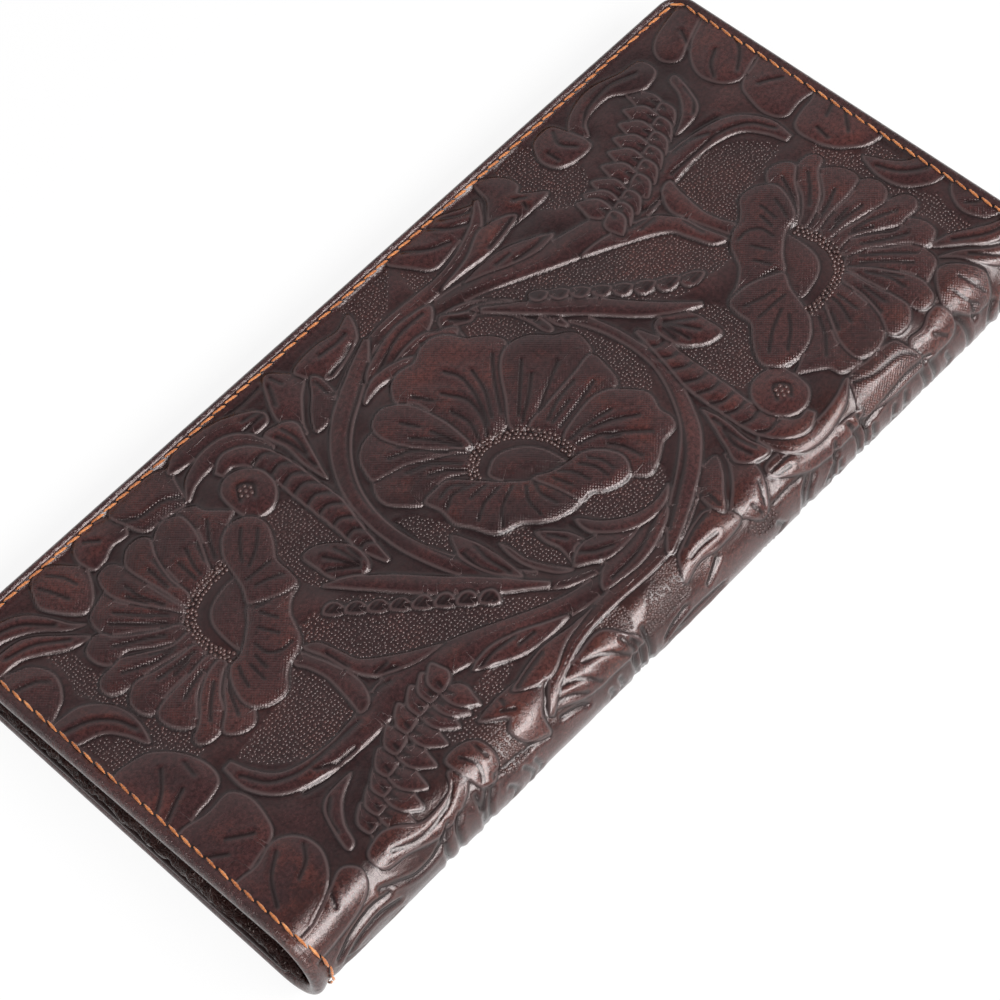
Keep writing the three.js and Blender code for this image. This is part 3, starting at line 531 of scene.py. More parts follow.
leaf_both([(-54.6, 82), (-51, 81.4), (-48, 83), (-47.2, 87), (-49, 90.6), (-52.6, 90.8), (-54, 87)],
          [[(-52.4, 83.6), (-51, 86.4), (-52.2, 89.4)], [(-49, 84), (-48.8, 86.6)]])

# Flowers at the two ends: back petals, bead ring, pistil, then the folded front lobes.
SIDE_PETALS = (
    ([(-69, 14), (-72, 14.6), (-74.8, 15.8), (-75.6, 18.5), (-74.6, 21.6), (-71, 24.6), (-67, 28.2),
      (-64.5, 29), (-63.2, 27.5), (-65.5, 24), (-67.5, 20.5), (-69.3, 17)],
     [[(-71.4, 18.6), (-68.6, 22.4), (-65.4, 26)], [(-73.4, 19.6), (-70, 23.6), (-66.6, 27)]]),
    ([(-69.5, 14), (-68.4, 11), (-66, 10.2), (-64.3, 11.2), (-63.6, 14), (-63.3, 19), (-62.6, 25),
      (-62.5, 28), (-64.3, 26), (-67.3, 21), (-69.2, 17)],
     [[(-66.3, 16.4), (-66, 20), (-64.4, 24)], [(-67.6, 18), (-66.4, 21.6)]]),
    ([(-50.4, 12.2), (-48.3, 12.2), (-46.7, 13.4), (-46.2, 15.5), (-44, 18), (-43, 19.5), (-46, 21),
      (-49.5, 23), (-52, 26), (-54.5, 26), (-52.5, 22), (-50.3, 17.5)],
     [[(-47.6, 17.4), (-50, 20.4), (-52, 24)]]),
    ([(-58.8, 16), (-57, 13.3), (-55, 11.8), (-52.7, 11.3), (-50.5, 12.3), (-49.8, 14), (-50.5, 18),
      (-53, 23), (-55, 26), (-59.7, 26.3), (-59.5, 20)],
     [[(-57, 20), (-57.2, 24.4)], [(-54.2, 18.8), (-55.6, 22.4), (-56, 24.6)], [(-52, 19.4), (-53.6, 23)]]),
    ([(-63.8, 14), (-62, 11.2), (-59.8, 10.3), (-57.5, 10.7), (-56.6, 12.5), (-58.5, 16), (-59.8, 21),
      (-60, 26), (-62.2, 27), (-62.8, 22)],
     [[(-63.4, 18.6), (-63, 24.4)], [(-59.3, 16.2), (-60.2, 20), (-60.4, 23)], [(-61.4, 17), (-61.6, 22)]]),
    ([(-74.6, 21.6), (-75.8, 19.2), (-78, 19.2), (-80, 20.5), (-80.2, 23.5), (-78.5, 26), (-75, 25.8),
      (-72, 28.3), (-68, 31), (-65, 31.5), (-65, 29), (-68.5, 27), (-72, 24.2)],
     [[(-76, 23.4), (-72, 26), (-68.6, 28.6)]]),
    ([(-78.5, 26), (-81.5, 26), (-83.2, 27.5), (-83, 29.7), (-81.2, 31), (-78.5, 31.5), (-74, 32),
      (-69, 33.3), (-65.3, 33.5), (-65, 31), (-69, 30.8), (-74, 27.6), (-76.5, 26)],
     [[(-78.6, 28.4), (-74, 30.8), (-70, 31.8)], [(-73, 29.4), (-69, 31.6)]]),
    ([(-78.5, 31.3), (-81.5, 33), (-82, 36), (-80.2, 38.3), (-76, 37.4), (-71, 37.3), (-66.5, 36.7),
      (-65.2, 34), (-70, 33.3), (-74.5, 32.3)],
     [[(-75.4, 34), (-71, 34.6), (-67.6, 34.8)], [(-73, 35.6), (-69.6, 35.4)]]),
    ([(-80, 38.5), (-80.6, 41), (-79.3, 44), (-77, 45.5), (-75, 43.5), (-72.5, 41), (-69, 39.5), (-65.5, 39),
      (-66, 36.8), (-71, 37.3), (-76, 37.5)],
     [[(-75, 40.2), (-71.6, 39), (-69, 38.4)]]),
    ([(-77, 45.5), (-79.3, 46.5), (-79.5, 48.3), (-77.7, 49.5), (-75, 49.3), (-72, 47), (-70, 44),
      (-67, 41.5), (-65, 40.5), (-65.5, 38.8), (-69.5, 39.7), (-73, 41.7), (-75.2, 44)],
     [[(-75, 46.6), (-72.4, 44), (-69.4, 41.6)]]),
    ([(-75, 49.4), (-74.7, 51), (-73, 52.4), (-70.5, 52.8), (-68.5, 51), (-67.5, 47.5), (-66, 43.5),
      (-64, 41), (-66, 41.2), (-69.5, 44), (-72, 47)],
     [[(-71, 49.4), (-69.6, 46.4), (-68, 43.4)]]),
)
SIDE_RING = [(-63.8, 40.4), (-64.9, 36), (-64.4, 31.4), (-62, 28.3), (-59, 26.8), (-55, 26.2), (-51.6, 26.2)]
SIDE_PISTIL = [(-62.2, 40.4), (-62.3, 36.4), (-61.6, 33), (-59.8, 30.8), (-57, 29.6), (-53, 29.2),
               (-52.6, 32), (-55, 36), (-58, 39), (-61.2, 41.2)]
SIDE_LOBES = (
    ([(-68.5, 46), (-69, 49), (-67.3, 51.5), (-64.5, 52.6), (-62, 52.3), (-60, 50.3), (-58, 49),
      (-55.5, 48.3),
      (-53.3, 46.8), (-52.2, 44.5), (-51, 42), (-48.8, 40), (-46, 38.6), (-50, 36), (-54.8, 35), (-58, 38),
      (-62, 40.7), (-65.5, 41.5), (-67.3, 43.5)],
     [[(-66.2, 47), (-65.4, 44.6), (-64.6, 43)], [(-63.4, 48), (-63, 44.2)], [(-61.6, 46.6), (-61.2, 43.6)],
      [(-59.6, 41.8), (-59.4, 44.6), (-57.4, 46.2), (-55, 46.2)], [(-57, 40), (-55.4, 43.4)],
      [(-54.6, 38), (-53.4, 41)], [(-54.4, 36.6), (-52, 37.4)]]),
    ([(-51.3, 25.3), (-48.5, 22), (-45, 20.9), (-42.4, 22), (-40.9, 24.6), (-41.3, 27), (-43, 29.8),
      (-45, 32.5),
      (-45.2, 36), (-46, 38.6), (-49.5, 38.3), (-53, 36.5), (-54.9, 34.9), (-53.3, 32), (-52.4, 28.8)],
     [[(-45, 23.4), (-47.6, 25.8), (-49.4, 28.2)], [(-43, 25.6), (-46, 28.2), (-49.4, 30)],
      [(-46.6, 35.6), (-49, 34.4), (-51.4, 33.6)], [(-46.4, 32), (-49.4, 31.8), (-51.6, 31.6)]]),
)
for petal, veins in SIDE_PETALS:
    leaf_both(petal, veins, hatched=True, level=0.05, bevel=0.26, sag=0.6)
leaf_both(SIDE_PISTIL, hatched=True, level=-0.2, dome=0.5, bevel=0.2)
both(seeds, SIDE_RING)
for petal, veins in SIDE_LOBES:
    leaf_both(petal, veins, hatched=True, level=0.12, dome=0.36, bevel=0.3, sag=0.4)

# Flower in the middle.
MIDDLE_PETALS = (
    ([(-6, 22), (-3, 21.3), (0, 21.9), (2.5, 20.8), (5, 20.4), (7.3, 21.2), (9, 23), (10.3, 25.2), (13, 27.6),
      (14.7, 31), (12, 34), (4, 43), (-3, 44), (-7, 41), (-6, 34), (-6, 29), (-8.3, 25.5)],
     [[(-3.2, 34.6), (-2.7, 38.5), (-4, 42)], [(-1.6, 30.6), (0.5, 35), (-0.5, 39.6), (-2.6, 43)],
      [(2.2, 27.6), (3.3, 31), (2, 36), (-0.8, 41.4)], [(5.6, 31.4), (4, 36), (0.6, 41)],
      [(10.6, 31.6), (6.6, 36), (2.4, 41.6)], [(-5.4, 27), (-3.6, 30.4)]]),
    ([(11.5, 33), (14.5, 32.2), (17.5, 33), (19.5, 35), (21, 37), (23, 38.2), (24.3, 40), (24, 42.5),
      (22.7, 45), (18, 46), (10, 46.5), (4, 47.5), (1, 45), (5, 40), (8.5, 35.5)],
     [[(17, 41.8), (12, 44), (7, 46.4)], [(12, 40), (8, 43), (3.6, 45.6)],
      [(13, 36.6), (8.6, 40.4), (4, 44.4)]]),
    ([(22.4, 45), (22.3, 49), (20.8, 53), (16, 53), (6, 54), (4, 50), (3.6, 47), (10, 46.3), (17, 45.6)],
     [[(15.8, 46.8), (11, 47.4), (6.6, 49)], [(12.2, 49), (6.8, 50)], [(18, 49.6), (12, 50.8), (7, 51.6)]]),
    ([(6, 53.2), (12, 51.8), (16, 51.7), (19, 53), (21.3, 55.5), (22.7, 58), (22.6, 60), (21.5, 62.5),
      (21.7, 65), (20.5, 67), (17, 67.5), (14.8, 68.7), (12, 70), (9.5, 70), (7, 66), (5, 60), (4, 56)],
     [[(15.6, 56), (11, 55), (6.4, 54.7)], [(12.8, 60.2), (10, 57.8), (6.4, 56.4)],
      [(18, 60.6), (14, 57.6), (10, 56)], [(17, 64.6), (13.6, 61), (10.8, 59.4)],
      [(12, 66.6), (11.4, 63), (10, 60.4)]]),
    ([(-22.8, 34), (-24.6, 36.5), (-24.8, 39), (-23.5, 41.3), (-21.3, 43.7), (-19.7, 44.2), (-14, 43.5),
      (-9.5, 46), (-7, 43), (-11, 39.5), (-16, 36), (-19.5, 34.5)],
     [[(-17.6, 37.4), (-13.4, 39.2), (-10, 43.4)], [(-15.4, 40.8), (-12.4, 42.6), (-10.4, 45)]]),
    ([(-15.3, 26.6), (-18.5, 27), (-21, 28.7), (-22.2, 31), (-22.8, 34), (-20, 35.2), (-16, 36.6),
      (-10, 40.6), (-7, 42.6), (-9, 38), (-13, 32.6), (-15.2, 29)],
     [[(-17.6, 33), (-13, 35.4), (-9.6, 40.2)], [(-14.6, 32.6), (-11.4, 36), (-8.8, 40)]]),
    ([(-13.5, 24.8), (-11, 24.3), (-8.7, 25.5), (-6.5, 28.5), (-5.6, 33), (-5.3, 37), (-6, 42.4), (-9, 40),
      (-13, 35), (-15.3, 30), (-15.2, 26.5)],
     [[(-12.2, 32.8), (-9.6, 36.4), (-7.4, 41)], [(-8.6, 34.8), (-7, 40.6)], [(-10.8, 29.4), (-9.2, 32.6)]]),
)
MIDDLE_RING = [(-10.6, 47.4), (-8.4, 44.8), (-5, 43.7), (-1.4, 44.6), (1.6, 46.8), (3.8, 50), (4.8, 53.4),
               (4.6, 57)]
MIDDLE_PISTIL = [(-8.6, 49.2), (-6.8, 47.4), (-4.6, 46.8), (-2.2, 47.6), (0.2, 49.4), (1.8, 51.8),
                 (2.6, 54.6), (2.6, 58), (-1, 57.4), (-6, 54.6)]
MIDDLE_LOBES = (
    ([(-20, 44), (-17, 43.6), (-14, 43.8), (-12, 46), (-10, 48.7), (-7.5, 52), (-5, 54.5), (-2, 56.2),
      (1, 57.2),
      (0, 60), (-1.5, 64.7), (-6.5, 64.3), (-9.5, 62.5), (-12, 60), (-16.5, 58), (-18.4, 54), (-19.8, 51),
      (-19.5, 47.5)],
     [[(-17.4, 45.6), (-14.8, 45.4), (-12.8, 47)], [(-18.4, 48), (-15.6, 47), (-11.8, 48.2)],
      [(-14.2, 49.8), (-10.6, 49.9)], [(-16.6, 54), (-13.4, 52.4), (-9.4, 52)],
      [(-14.6, 58), (-12, 55.4), (-7.6, 53.6)],
      [(-8.6, 61.4), (-8, 58), (-6, 55.4)], [(-5, 62), (-5.4, 58.4), (-4.4, 56)]]),
    ([(-4, 54.9), (0, 56.9), (5, 57.8), (8, 60), (9.8, 63.3), (9.3, 66), (7.4, 67.7), (5, 67.6), (2.5, 66.5),
      (0.5, 64.9), (-1.8, 64.7), (-3, 60)],
     [[(0, 57.6), (1.6, 60), (2.2, 63)], [(3.4, 59.4), (4.8, 62), (5, 65)],
      [(5.4, 59.8), (6.6, 62), (6.8, 64.6)],
      [(-1.6, 58), (-0.6, 61.4)]]),
)
for petal, veins in MIDDLE_PETALS:
    leaf(petal, veins, hatched=True, level=0.05, bevel=0.26, sag=0.6)
leaf(MIDDLE_PISTIL, hatched=True, level=-0.2, dome=0.5, bevel=0.2)
seeds(MIDDLE_RING)
for petal, veins in MIDDLE_LOBES:
    leaf(petal, veins, hatched=True, level=0.12, dome=0.36, bevel=0.3, sag=0.4)

# Strokes that run on round the fold.
FOLD_STROKES = (
    [(-90, 95.4), (-86, 93), (-81, 91.8), (-76.6, 92.2)],
    [(-88.6, 97.4), (-85, 95.2), (-80, 94.4), (-75.6, 95.6)],
    [(-77.6, 90.4), (-74, 92.2), (-70.6, 93.8), (-66.4, 93.6), (-62.6, 91.6)],
    [(-61.6, 90.4), (-63.4, 92.8), (-64.1, 95.4), (-64, 97.8)], [(-58.9, 90.8), (-60.6, 93.4), (-61.1, 97.8)],
    [(-54.6, 90.6), (-55.1, 93.6)], [(-52.4, 91), (-54.6, 93.8), (-55.3, 97.8)],
    [(-51.4, 91.6), (-53.4, 94.4), (-54.1, 97.8)],
    [(-48.6, 94.6), (-47.6, 96), (-47.2, 97.8)], [(-44.6, 93.8), (-43.4, 96), (-43, 97.8)],
    [(-42, 94.4), (-41.2, 97.8)],
    [(-50, 90.2), (-45, 90.8), (-41, 91.4), (-38.2, 92.4)], [(-34, 91.6), (-30, 92.8), (-28.6, 93.8)],
    [(-23.4, 95.6), (-22.8, 97.8)], [(-20.8, 95), (-20.4, 97.8)],
    [(-17, 88.6), (-16.2, 91.6), (-17, 95), (-16.8, 97.8)],
    [(-15.4, 90), (-14.8, 93), (-15.6, 97.8)], [(-12.6, 90.2), (-12.9, 94), (-13.6, 97.8)],
    [(-9.4, 96), (-7.2, 94.6), (-3.4, 93.6)], [(-8.6, 97.8), (-4.6, 96.6), (-0.6, 96.2), (5.6, 96.8)],
    [(2.4, 93.4), (4.4, 92), (6.4, 90.6)], [(20.4, 95.2), (22, 97.8)],
    [(29.6, 91.8), (27.6, 94), (26.8, 97.8)],
    [(31, 92.4), (28.8, 94.8), (28, 97.8)], [(37.8, 90.8), (36.4, 94), (35.2, 97)],
    [(35.2, 95), (33.2, 97.8)],
    [(37.4, 95.2), (36.8, 97.8)], [(42, 90), (42.6, 94), (42, 97.8)], [(44.4, 90), (44.8, 94), (44, 97.8)],
    [(46.6, 94.4), (46.4, 97.8)], [(45, 93), (48.6, 92.2), (53, 91.4), (58, 91), (63.4, 91.8)],
    [(52.4, 94.8), (51.6, 97.8)], [(55.6, 94.4), (55, 97.8)], [(60.6, 93.8), (61, 97.8)],
    [(63.2, 93.4), (63.6, 97.8)],
    [(67, 94.8), (67.8, 97.8)], [(72.4, 89.8), (72.9, 94), (73, 97.8)], [(76.2, 90), (75.4, 93)],
    [(80.6, 93.2), (79, 95.4), (78.6, 97.8)], [(84.6, 92), (82.6, 95), (82, 97.8)],
    [(89, 91.6), (87.4, 94.6), (87, 97.8)],
)
stipple([(14.6, 91), (17.6, 90.4), (20.8, 91.4), (20.4, 94.4), (17.8, 95), (15, 93.4)])
for stroke in FOLD_STROKES:
    cut_line(stroke, depth=0.75, width=0.6, ridge=0.3)

# The leather gives: its steps are rounded and the whole stands up softly.
relief = soften(relief, 0.3) + 0.9 * soften(relief, 1.5)


# Cover leather: tooled face, rolled edge, turned-in flap and plain inner side.
SEEN_STEP = 0.32
HIDDEN_STEP = 0.45
ROLL = 1.3
FIELD_DEPTH = 0.44
DEEPEST = 1.15
SOFT_TOP = 0.05
RELIEF_GAIN = 0.78
FOLD_GAIN = 0.6
FOLD_GAIN_FROM, FOLD_GAIN_TO = 76.0, 84.0
SWELL = 0.05
TOOLED_FROM, TOOLED_TO = 1.5, 3.3
MARKED_FROM = 2.0
SEAM_INSET = 2.4
SEAM_DRAWN_IN = 1.4
DRAWN_FROM, DRAWN_TO = 84.0, 95.0
SEAM_GROOVE = 0.07
STITCH_PITCH = 3.0
ROLL_ANGLES = np.radians((0, 15, 30, 45, 60, 75, 90))
# Way of the turned edge past its outermost line: distance in from the edge, and depth.
TURN = [(ROLL * (1 - np.cos(a)), ROLL + ROLL * np.sin(a)) for a in ROLL_ANGLES[1:]] + [
    (4.6, 2.6), (FLAP_WIDTH - 0.2, 2.6), (FLAP_WIDTH, 2.4), (FLAP_WIDTH, 1.9), (FLAP_WIDTH - 0.2, 1.7),
    (1.8, 1.7), (1.6, 1.55), (1.8, COVER_LEATHER)]
TURN_IN = np.array([b for b, _ in TURN])
TURN_DEPTH = np.array([d for _, d in TURN])


def spread(low, high, step):
    """Even places from low to high, about step apart."""
    return np.linspace(low, high, max(int(round((high - low) / step)), 1) + 1)


def seam_inset(s):
    """How far the stitching lies from the ends, drawn in where it goes round the fold."""
    return SEAM_INSET + SEAM_DRAWN_IN * smoothstep(DRAWN_FROM, DRAWN_TO, s)


def seam_line():
    """The stitching's way in (u, s): up one end, along the open edge and down the other end."""
    corner_u, radius = LENGTH / 2 - CORNER, CORNER - SEAM_INSET
    s = spread(CORNER, FOLD_MIDDLE, 0.5)
    turn = np.radians(np.linspace(0, 90, 12))
    far_end = np.stack([LENGTH / 2 - seam_inset(s), s], axis=1)
    bend = np.stack([corner_u + radius * np.sin(turn), CORNER - radius * np.cos(turn)], axis=1)
    half = np.vstack([[(0.0, SEAM_INSET)], bend, far_end[1:]])
    return np.vstack([half[::-1] * (-1, 1), half[1:]])


def evenly(line, pitch, start):
    """Places along a line, pitch apart, with their directions."""
    run = np.concatenate([[0], np.cumsum(np.linalg.norm(np.diff(line, axis=0), axis=1))])
    at = np.arange(start, run[-1], pitch)
    place = np.stack([np.interp(at, run, line[:, k]) for k in range(line.shape[1])], axis=1)
    ahead = np.stack([np.interp(at + 0.2, run, line[:, k]) - np.interp(at - 0.2, run, line[:, k])
                      for k in range(line.shape[1])], axis=1)
    return place, ahead / (np.linalg.norm(ahead, axis=1)[:, None] + 1e-9)


def sample(field, u, s):
    """A value of the drawn sheet between its points."""
    i = np.clip((u + TOOL_HALF) / TOOL_STEP, 0, len(tool_u) - 1.001)
    j = np.clip(np.where(s > FOLD_MIDDLE, 2 * FOLD_MIDDLE - s, s) / TOOL_STEP, 0, len(tool_s) - 1.001)
    i0, j0 = i.astype(int), j.astype(int)
    fi, fj = i - i0, j - j0
    top = field[j0, i0] * (1 - fi) + field[j0, i0 + 1] * fi
    low = field[j0 + 1, i0] * (1 - fi) + field[j0 + 1, i0 + 1] * fi
    return top * (1 - fj) + low * fj


hole_places, _ = evenly(seam_line(), STITCH_PITCH, 0.0)
whole_sheet = reach_of(np.array([(-TOOL_HALF, 0.0), (TOOL_HALF, TOOL_END)]), 0.0)
seam_far = distance(seam_line(), whole_sheet, CUT_REACH)
hole_far = np.full(relief.shape, CUT_REACH)
for hole_u, hole_s in hole_places:
    around = reach_of(np.array([(hole_u, hole_s)] * 2), 1.2)
    gap = np.hypot(tool_u[None, around[1]] - hole_u, tool_s[around[0], None] - hole_s)
    hole_far[around] = np.minimum(hole_far[around], gap)


def pressed(u, s):
    """How deep the tooled face lies under the cover's outline."""
    swell = (np.sin(u / 13.0 + 0.4) * np.sin(s / 11.0 + 1.1) + np.sin(u / 29.0 - s / 17.0)) * SWELL
    gain = RELIEF_GAIN + (FOLD_GAIN - RELIEF_GAIN) * smoothstep(FOLD_GAIN_FROM, FOLD_GAIN_TO, s)
    depth = FIELD_DEPTH + swell - gain * sample(relief, u, s)
    return np.minimum(SOFT_TOP * np.logaddexp(0.0, depth / SOFT_TOP), DEEPEST)


def cover_grid(step):
    """The cover's outside as rows along s and columns along u.

    Gives each point's place, depth and values for its finish, and how many rows lie flat.
    """
    face_u = spread(-(LENGTH / 2 - ROLL), LENGTH / 2 - ROLL, step)
    edge = ROLL * (1 - np.cos(ROLL_ANGLES[:-1]))
    turn_count = len(TURN)
    side = np.concatenate([LENGTH / 2 + np.arange(turn_count, 0, -1), LENGTH / 2 - edge])
    columns = np.concatenate([-side, face_u, side[::-1]])
    flat_rows = spread(ROLL, FLAT_LENGTH, step)
    fold_rows = spread(FLAT_LENGTH, FOLD_MIDDLE, step)
    rows = np.concatenate([-np.arange(turn_count, 0, -1), edge, flat_rows, fold_rows[1:],
                           [2 * FOLD_MIDDLE - fold_rows[-2]]])
    p, q = np.meshgrid(columns, rows)
    in_u = np.abs(p) - (LENGTH / 2 - CORNER)
    in_s = CORNER - q
    corner = (in_u > 0) & (in_s > 0)
    ring = np.where(corner, np.maximum(in_u, in_s), np.where(in_s > in_u, in_s, in_u))
    beyond = np.clip(np.rint(ring - CORNER).astype(int), 0, turn_count)
    inset = np.where(beyond > 0, TURN_IN[beyond - 1], CORNER - ring)
    low, high = np.minimum(in_u, in_s), np.maximum(in_u, in_s)
    lean = np.pi / 4 * low / np.where(corner, high, 1.0)
    toward_u = np.where(in_u > in_s, np.cos(lean), np.sin(lean))
    toward_s = np.where(in_u > in_s, np.sin(lean), np.cos(lean))
    radius = np.maximum(CORNER - inset, 0.0)
    centre = np.maximum(inset, CORNER)
    u_straight = np.where(in_u > in_s, LENGTH / 2 - inset, np.abs(p))
    s_straight = np.where(in_u > in_s, q, inset)
    u = np.sign(p) * np.where(corner, LENGTH / 2 - centre + radius * toward_u, u_straight)
    s = np.where(corner, centre - radius * toward_s, s_straight)
    rolled = ROLL - np.sqrt(np.maximum(ROLL ** 2 - np.maximum(ROLL - inset, 0.0) ** 2, 0.0))
    on_face = beyond == 0
    field = smoothstep(TOOLED_FROM, TOOLED_TO, inset) * on_face
    marked = on_face & (inset > MARKED_FROM)
    depth = np.where(on_face, rolled, TURN_DEPTH[np.maximum(beyond, 1) - 1]) + field * pressed(u, s)
    depth = depth + np.where(on_face, SEAM_GROOVE * np.exp(-sample(seam_far, u, s) ** 2), 0.0)
    values = {
        "cut": np.where(marked, sample(cut, u, s), CUT_REACH),
        "inward": np.where(marked, sample(inward, u, s), -RIM_REACH),
        "mat": sample(mat, u, s) * field,
        "hatch": sample(hatch, u, s) * field,
        "hole": np.where(on_face, sample(hole_far, u, s), CUT_REACH),
        "high": np.clip(sample(relief, u, s) + 0.5, 0, 1.2) * field + 0.5 * (1 - field),
        "edge": np.where(on_face, inset, 0.0),
    }
    return u, s, depth, values, len(edge) + len(flat_rows) + turn_count


def grid_normals(points):
    """Outward directions of a grid of points."""
    down = np.gradient(points, axis=0)
    over = np.gradient(points, axis=1)
    normal = np.cross(over, down)
    size = np.linalg.norm(normal, axis=-1, keepdims=True)
    return normal / np.where(size < 1e-12, 1.0, size)


def finish_mesh(name, points, faces, material, smooth_faces=True):
    """A mesh object from points in millimetres."""
    mesh = bpy.data.meshes.new(name)
    mesh.from_pydata((np.asarray(points, float) * MM).tolist(), [], faces)
    mesh.polygons.foreach_set("use_smooth", np.full(len(mesh.polygons), smooth_faces))
    mesh.materials.append(material)
    mesh.update()
    piece = bpy.data.objects.new(name, mesh)
    bpy.context.scene.collection.objects.link(piece)
    return piece


def grid_faces(rows, columns, flip=False):
    """Quads between the rows and columns of a grid."""
    index = np.arange(rows * columns).reshape(rows, columns)
    quads = np.stack([index[:-1, :-1], index[:-1, 1:], index[1:, 1:], index[1:, :-1]], axis=-1).reshape(-1, 4)
    return quads[:, ::-1] if flip else quads


def set_values(mesh, values, uv):
    """Per-point values for the finish, and a flat map in centimetres."""
    for name, value in values.items():
        layer = mesh.attributes.new(name, "FLOAT", "POINT")
        layer.data.foreach_set("value", value.ravel().astype(np.float32))
    corners = np.empty(len(mesh.loops), int)
    mesh.loops.foreach_get("vertex_index", corners)
    layer = mesh.uv_layers.new(name="sheet")
    layer.data.foreach_set("uv", (uv[corners] * 0.1).astype(np.float32).ravel())


def leather_piece(name, grid, rows, columns, place, flip, material, flat):
    """One stretch of the cover, closed on its inner side."""
    u, s, depth, values, _ = grid
    whole = place(along_leather(u, s, depth))
    normals = grid_normals(whole) * (-1 if flip else 1)
    stretch = (rows, columns)
    points = whole[stretch]
    count, across_count = points.shape[:2]
    points = points.reshape(-1, 3)
    faces = grid_faces(count, across_count, flip)
    across = np.linalg.norm(points[faces[:, 0]] - points[faces[:, 2]], axis=1)
    along = np.linalg.norm(points[faces[:, 1]] - points[faces[:, 3]], axis=1)
    faces = faces[(across > 1e-4) & (along > 1e-4)].tolist()
    index = np.arange(count * across_count).reshape(count, across_count)
    sheet_u, sheet_s = u[stretch], s[stretch]
    outward = normals[stretch].reshape(-1, 3)
    uv = np.stack([sheet_u, sheet_s], axis=-1).reshape(-1, 2)
    kept = {key: value[stretch].ravel() for key, value in values.items()}
    if flat:
        ring = [index[0, :]]
        if columns.start is None:
            ring = [index[:0:-1, 0]] + ring
        if columns.stop is None:
            ring = ring + [index[1:, -1]]
        ring = np.concatenate(ring).tolist()
        if columns != slice(None):
            middle = sheet_u[0, -1] if columns.start is None else sheet_u[0, 0]
            points = np.vstack([points, place(along_leather(middle, FLAT_LENGTH, COVER_LEATHER))])
            outward = np.vstack([outward, outward[index[0, 0]]])
            uv = np.vstack([uv, (middle, FLAT_LENGTH)])
            kept = {key: np.append(value, value[0]) for key, value in kept.items()}
            ring.append(len(points) - 1)
        faces.append(ring if flip else ring[::-1])
    else:
        for k in range(count - 1):
            quad = [index[k, 0], index[k + 1, 0], index[k + 1, -1], index[k, -1]]
            faces.append([int(i) for i in (quad[::-1] if flip else quad)])
    piece = finish_mesh(name, points, faces, material)
    set_values(piece.data, kept, uv)
    piece.data.normals_split_custom_set_from_vertices(outward.tolist())
    return piece


# Finishes, all from nodes.
def shader(name, **settings):
    """A material whose shader has these plain settings."""
    material = bpy.data.materials.new(name)
    material.use_nodes = True
    tree = material.node_tree
    base = tree.nodes["Principled BSDF"]
    for socket, value in settings.items():
        base.inputs[socket.replace("_", " ")].default_value = value
    return material, tree, base


def feed(tree, socket, source):
    """Links a socket, or sets it where the source is a plain value."""
    if isinstance(source, bpy.types.NodeSocket):
        tree.links.new(source, socket)
    else:
        socket.default_value = source


def add(tree, kind, links=(), **settings):
    """A node, with its plain settings and its linked inputs."""
    made = tree.nodes.new(kind)
    for key, value in settings.items():
        setattr(made, key, value)
    for socket, source in links:
        feed(tree, made.inputs[socket], source)
    return made


def math(tree, operation, a, b=0.0, c=0.0):
    return add(tree, "ShaderNodeMath", ((0, a), (1, b), (2, c)), operation=operation).outputs[0]


def times(tree, a, b):
    return math(tree, "MULTIPLY", a, b)


def times_plus(tree, a, b, c):
    return math(tree, "MULTIPLY_ADD", a, b, c)


def value_of(tree, name):
    return add(tree, "ShaderNodeAttribute", attribute_name=name).outputs["Fac"]


def on_sheet(tree):
    """Places on the leather or cloth laid flat, in centimetres."""
    return add(tree, "ShaderNodeUVMap", uv_map="sheet").outputs["UV"]


def on_body(tree):
    return add(tree, "ShaderNodeTexCoord").outputs["Object"]


def ramp(tree, source, stops, turn="LINEAR"):
    """Colours along a value."""
    made = add(tree, "ShaderNodeValToRGB", (("Fac", source),))
    made.color_ramp.interpolation = turn
    points = made.color_ramp.elements
    while len(points) < len(stops):
        points.new(0.5)
    for point, (place, colour) in zip(points, stops):
        point.position = place
        point.color = (*colour[:3], 1.0)
    return made.outputs["Color"]


def fade(tree, source, *stops, turn="LINEAR"):
    """Greys along a value."""
    return ramp(tree, source, [(place, (grey,) * 3) for place, grey in stops], turn)


def mix(tree, factor, a, b, blend="MIX"):
    """Two colours mixed."""
    made = add(tree, "ShaderNodeMix", data_type="RGBA", blend_type=blend)
    for index, source in ((0, factor), (6, a), (7, b)):
        feed(tree, made.inputs[index], source)
    return made.outputs[2]


def noise(tree, where, scale, detail=3.0, roughness=0.55):
    settings = (("Vector", where), ("Scale", scale), ("Detail", detail), ("Roughness", roughness))
    return add(tree, "ShaderNodeTexNoise", settings).outputs["Fac"]


def cells(tree, where, scale, feature="F1", randomness=1.0):
    settings = (("Vector", where), ("Scale", scale), ("Randomness", randomness))
    return add(tree, "ShaderNodeTexVoronoi", settings, feature=feature).outputs["Distance"]


def wave(tree, where, scale, way, wander=0.0):
    settings = (("Vector", where), ("Scale", scale), ("Distortion", wander))
    return add(tree, "ShaderNodeTexWave", settings, bands_direction=way).outputs["Fac"]


def paint(tree, base, colour):
    tree.links.new(colour, base.inputs["Base Color"])


def bump(tree, base, height, distance):
    """Relief too fine for the mesh; height 1 is distance metres high."""
    made = add(tree, "ShaderNodeBump", (("Height", height), ("Distance", distance), ("Strength", 1.0)))
    tree.links.new(made.outputs["Normal"], base.inputs["Normal"])
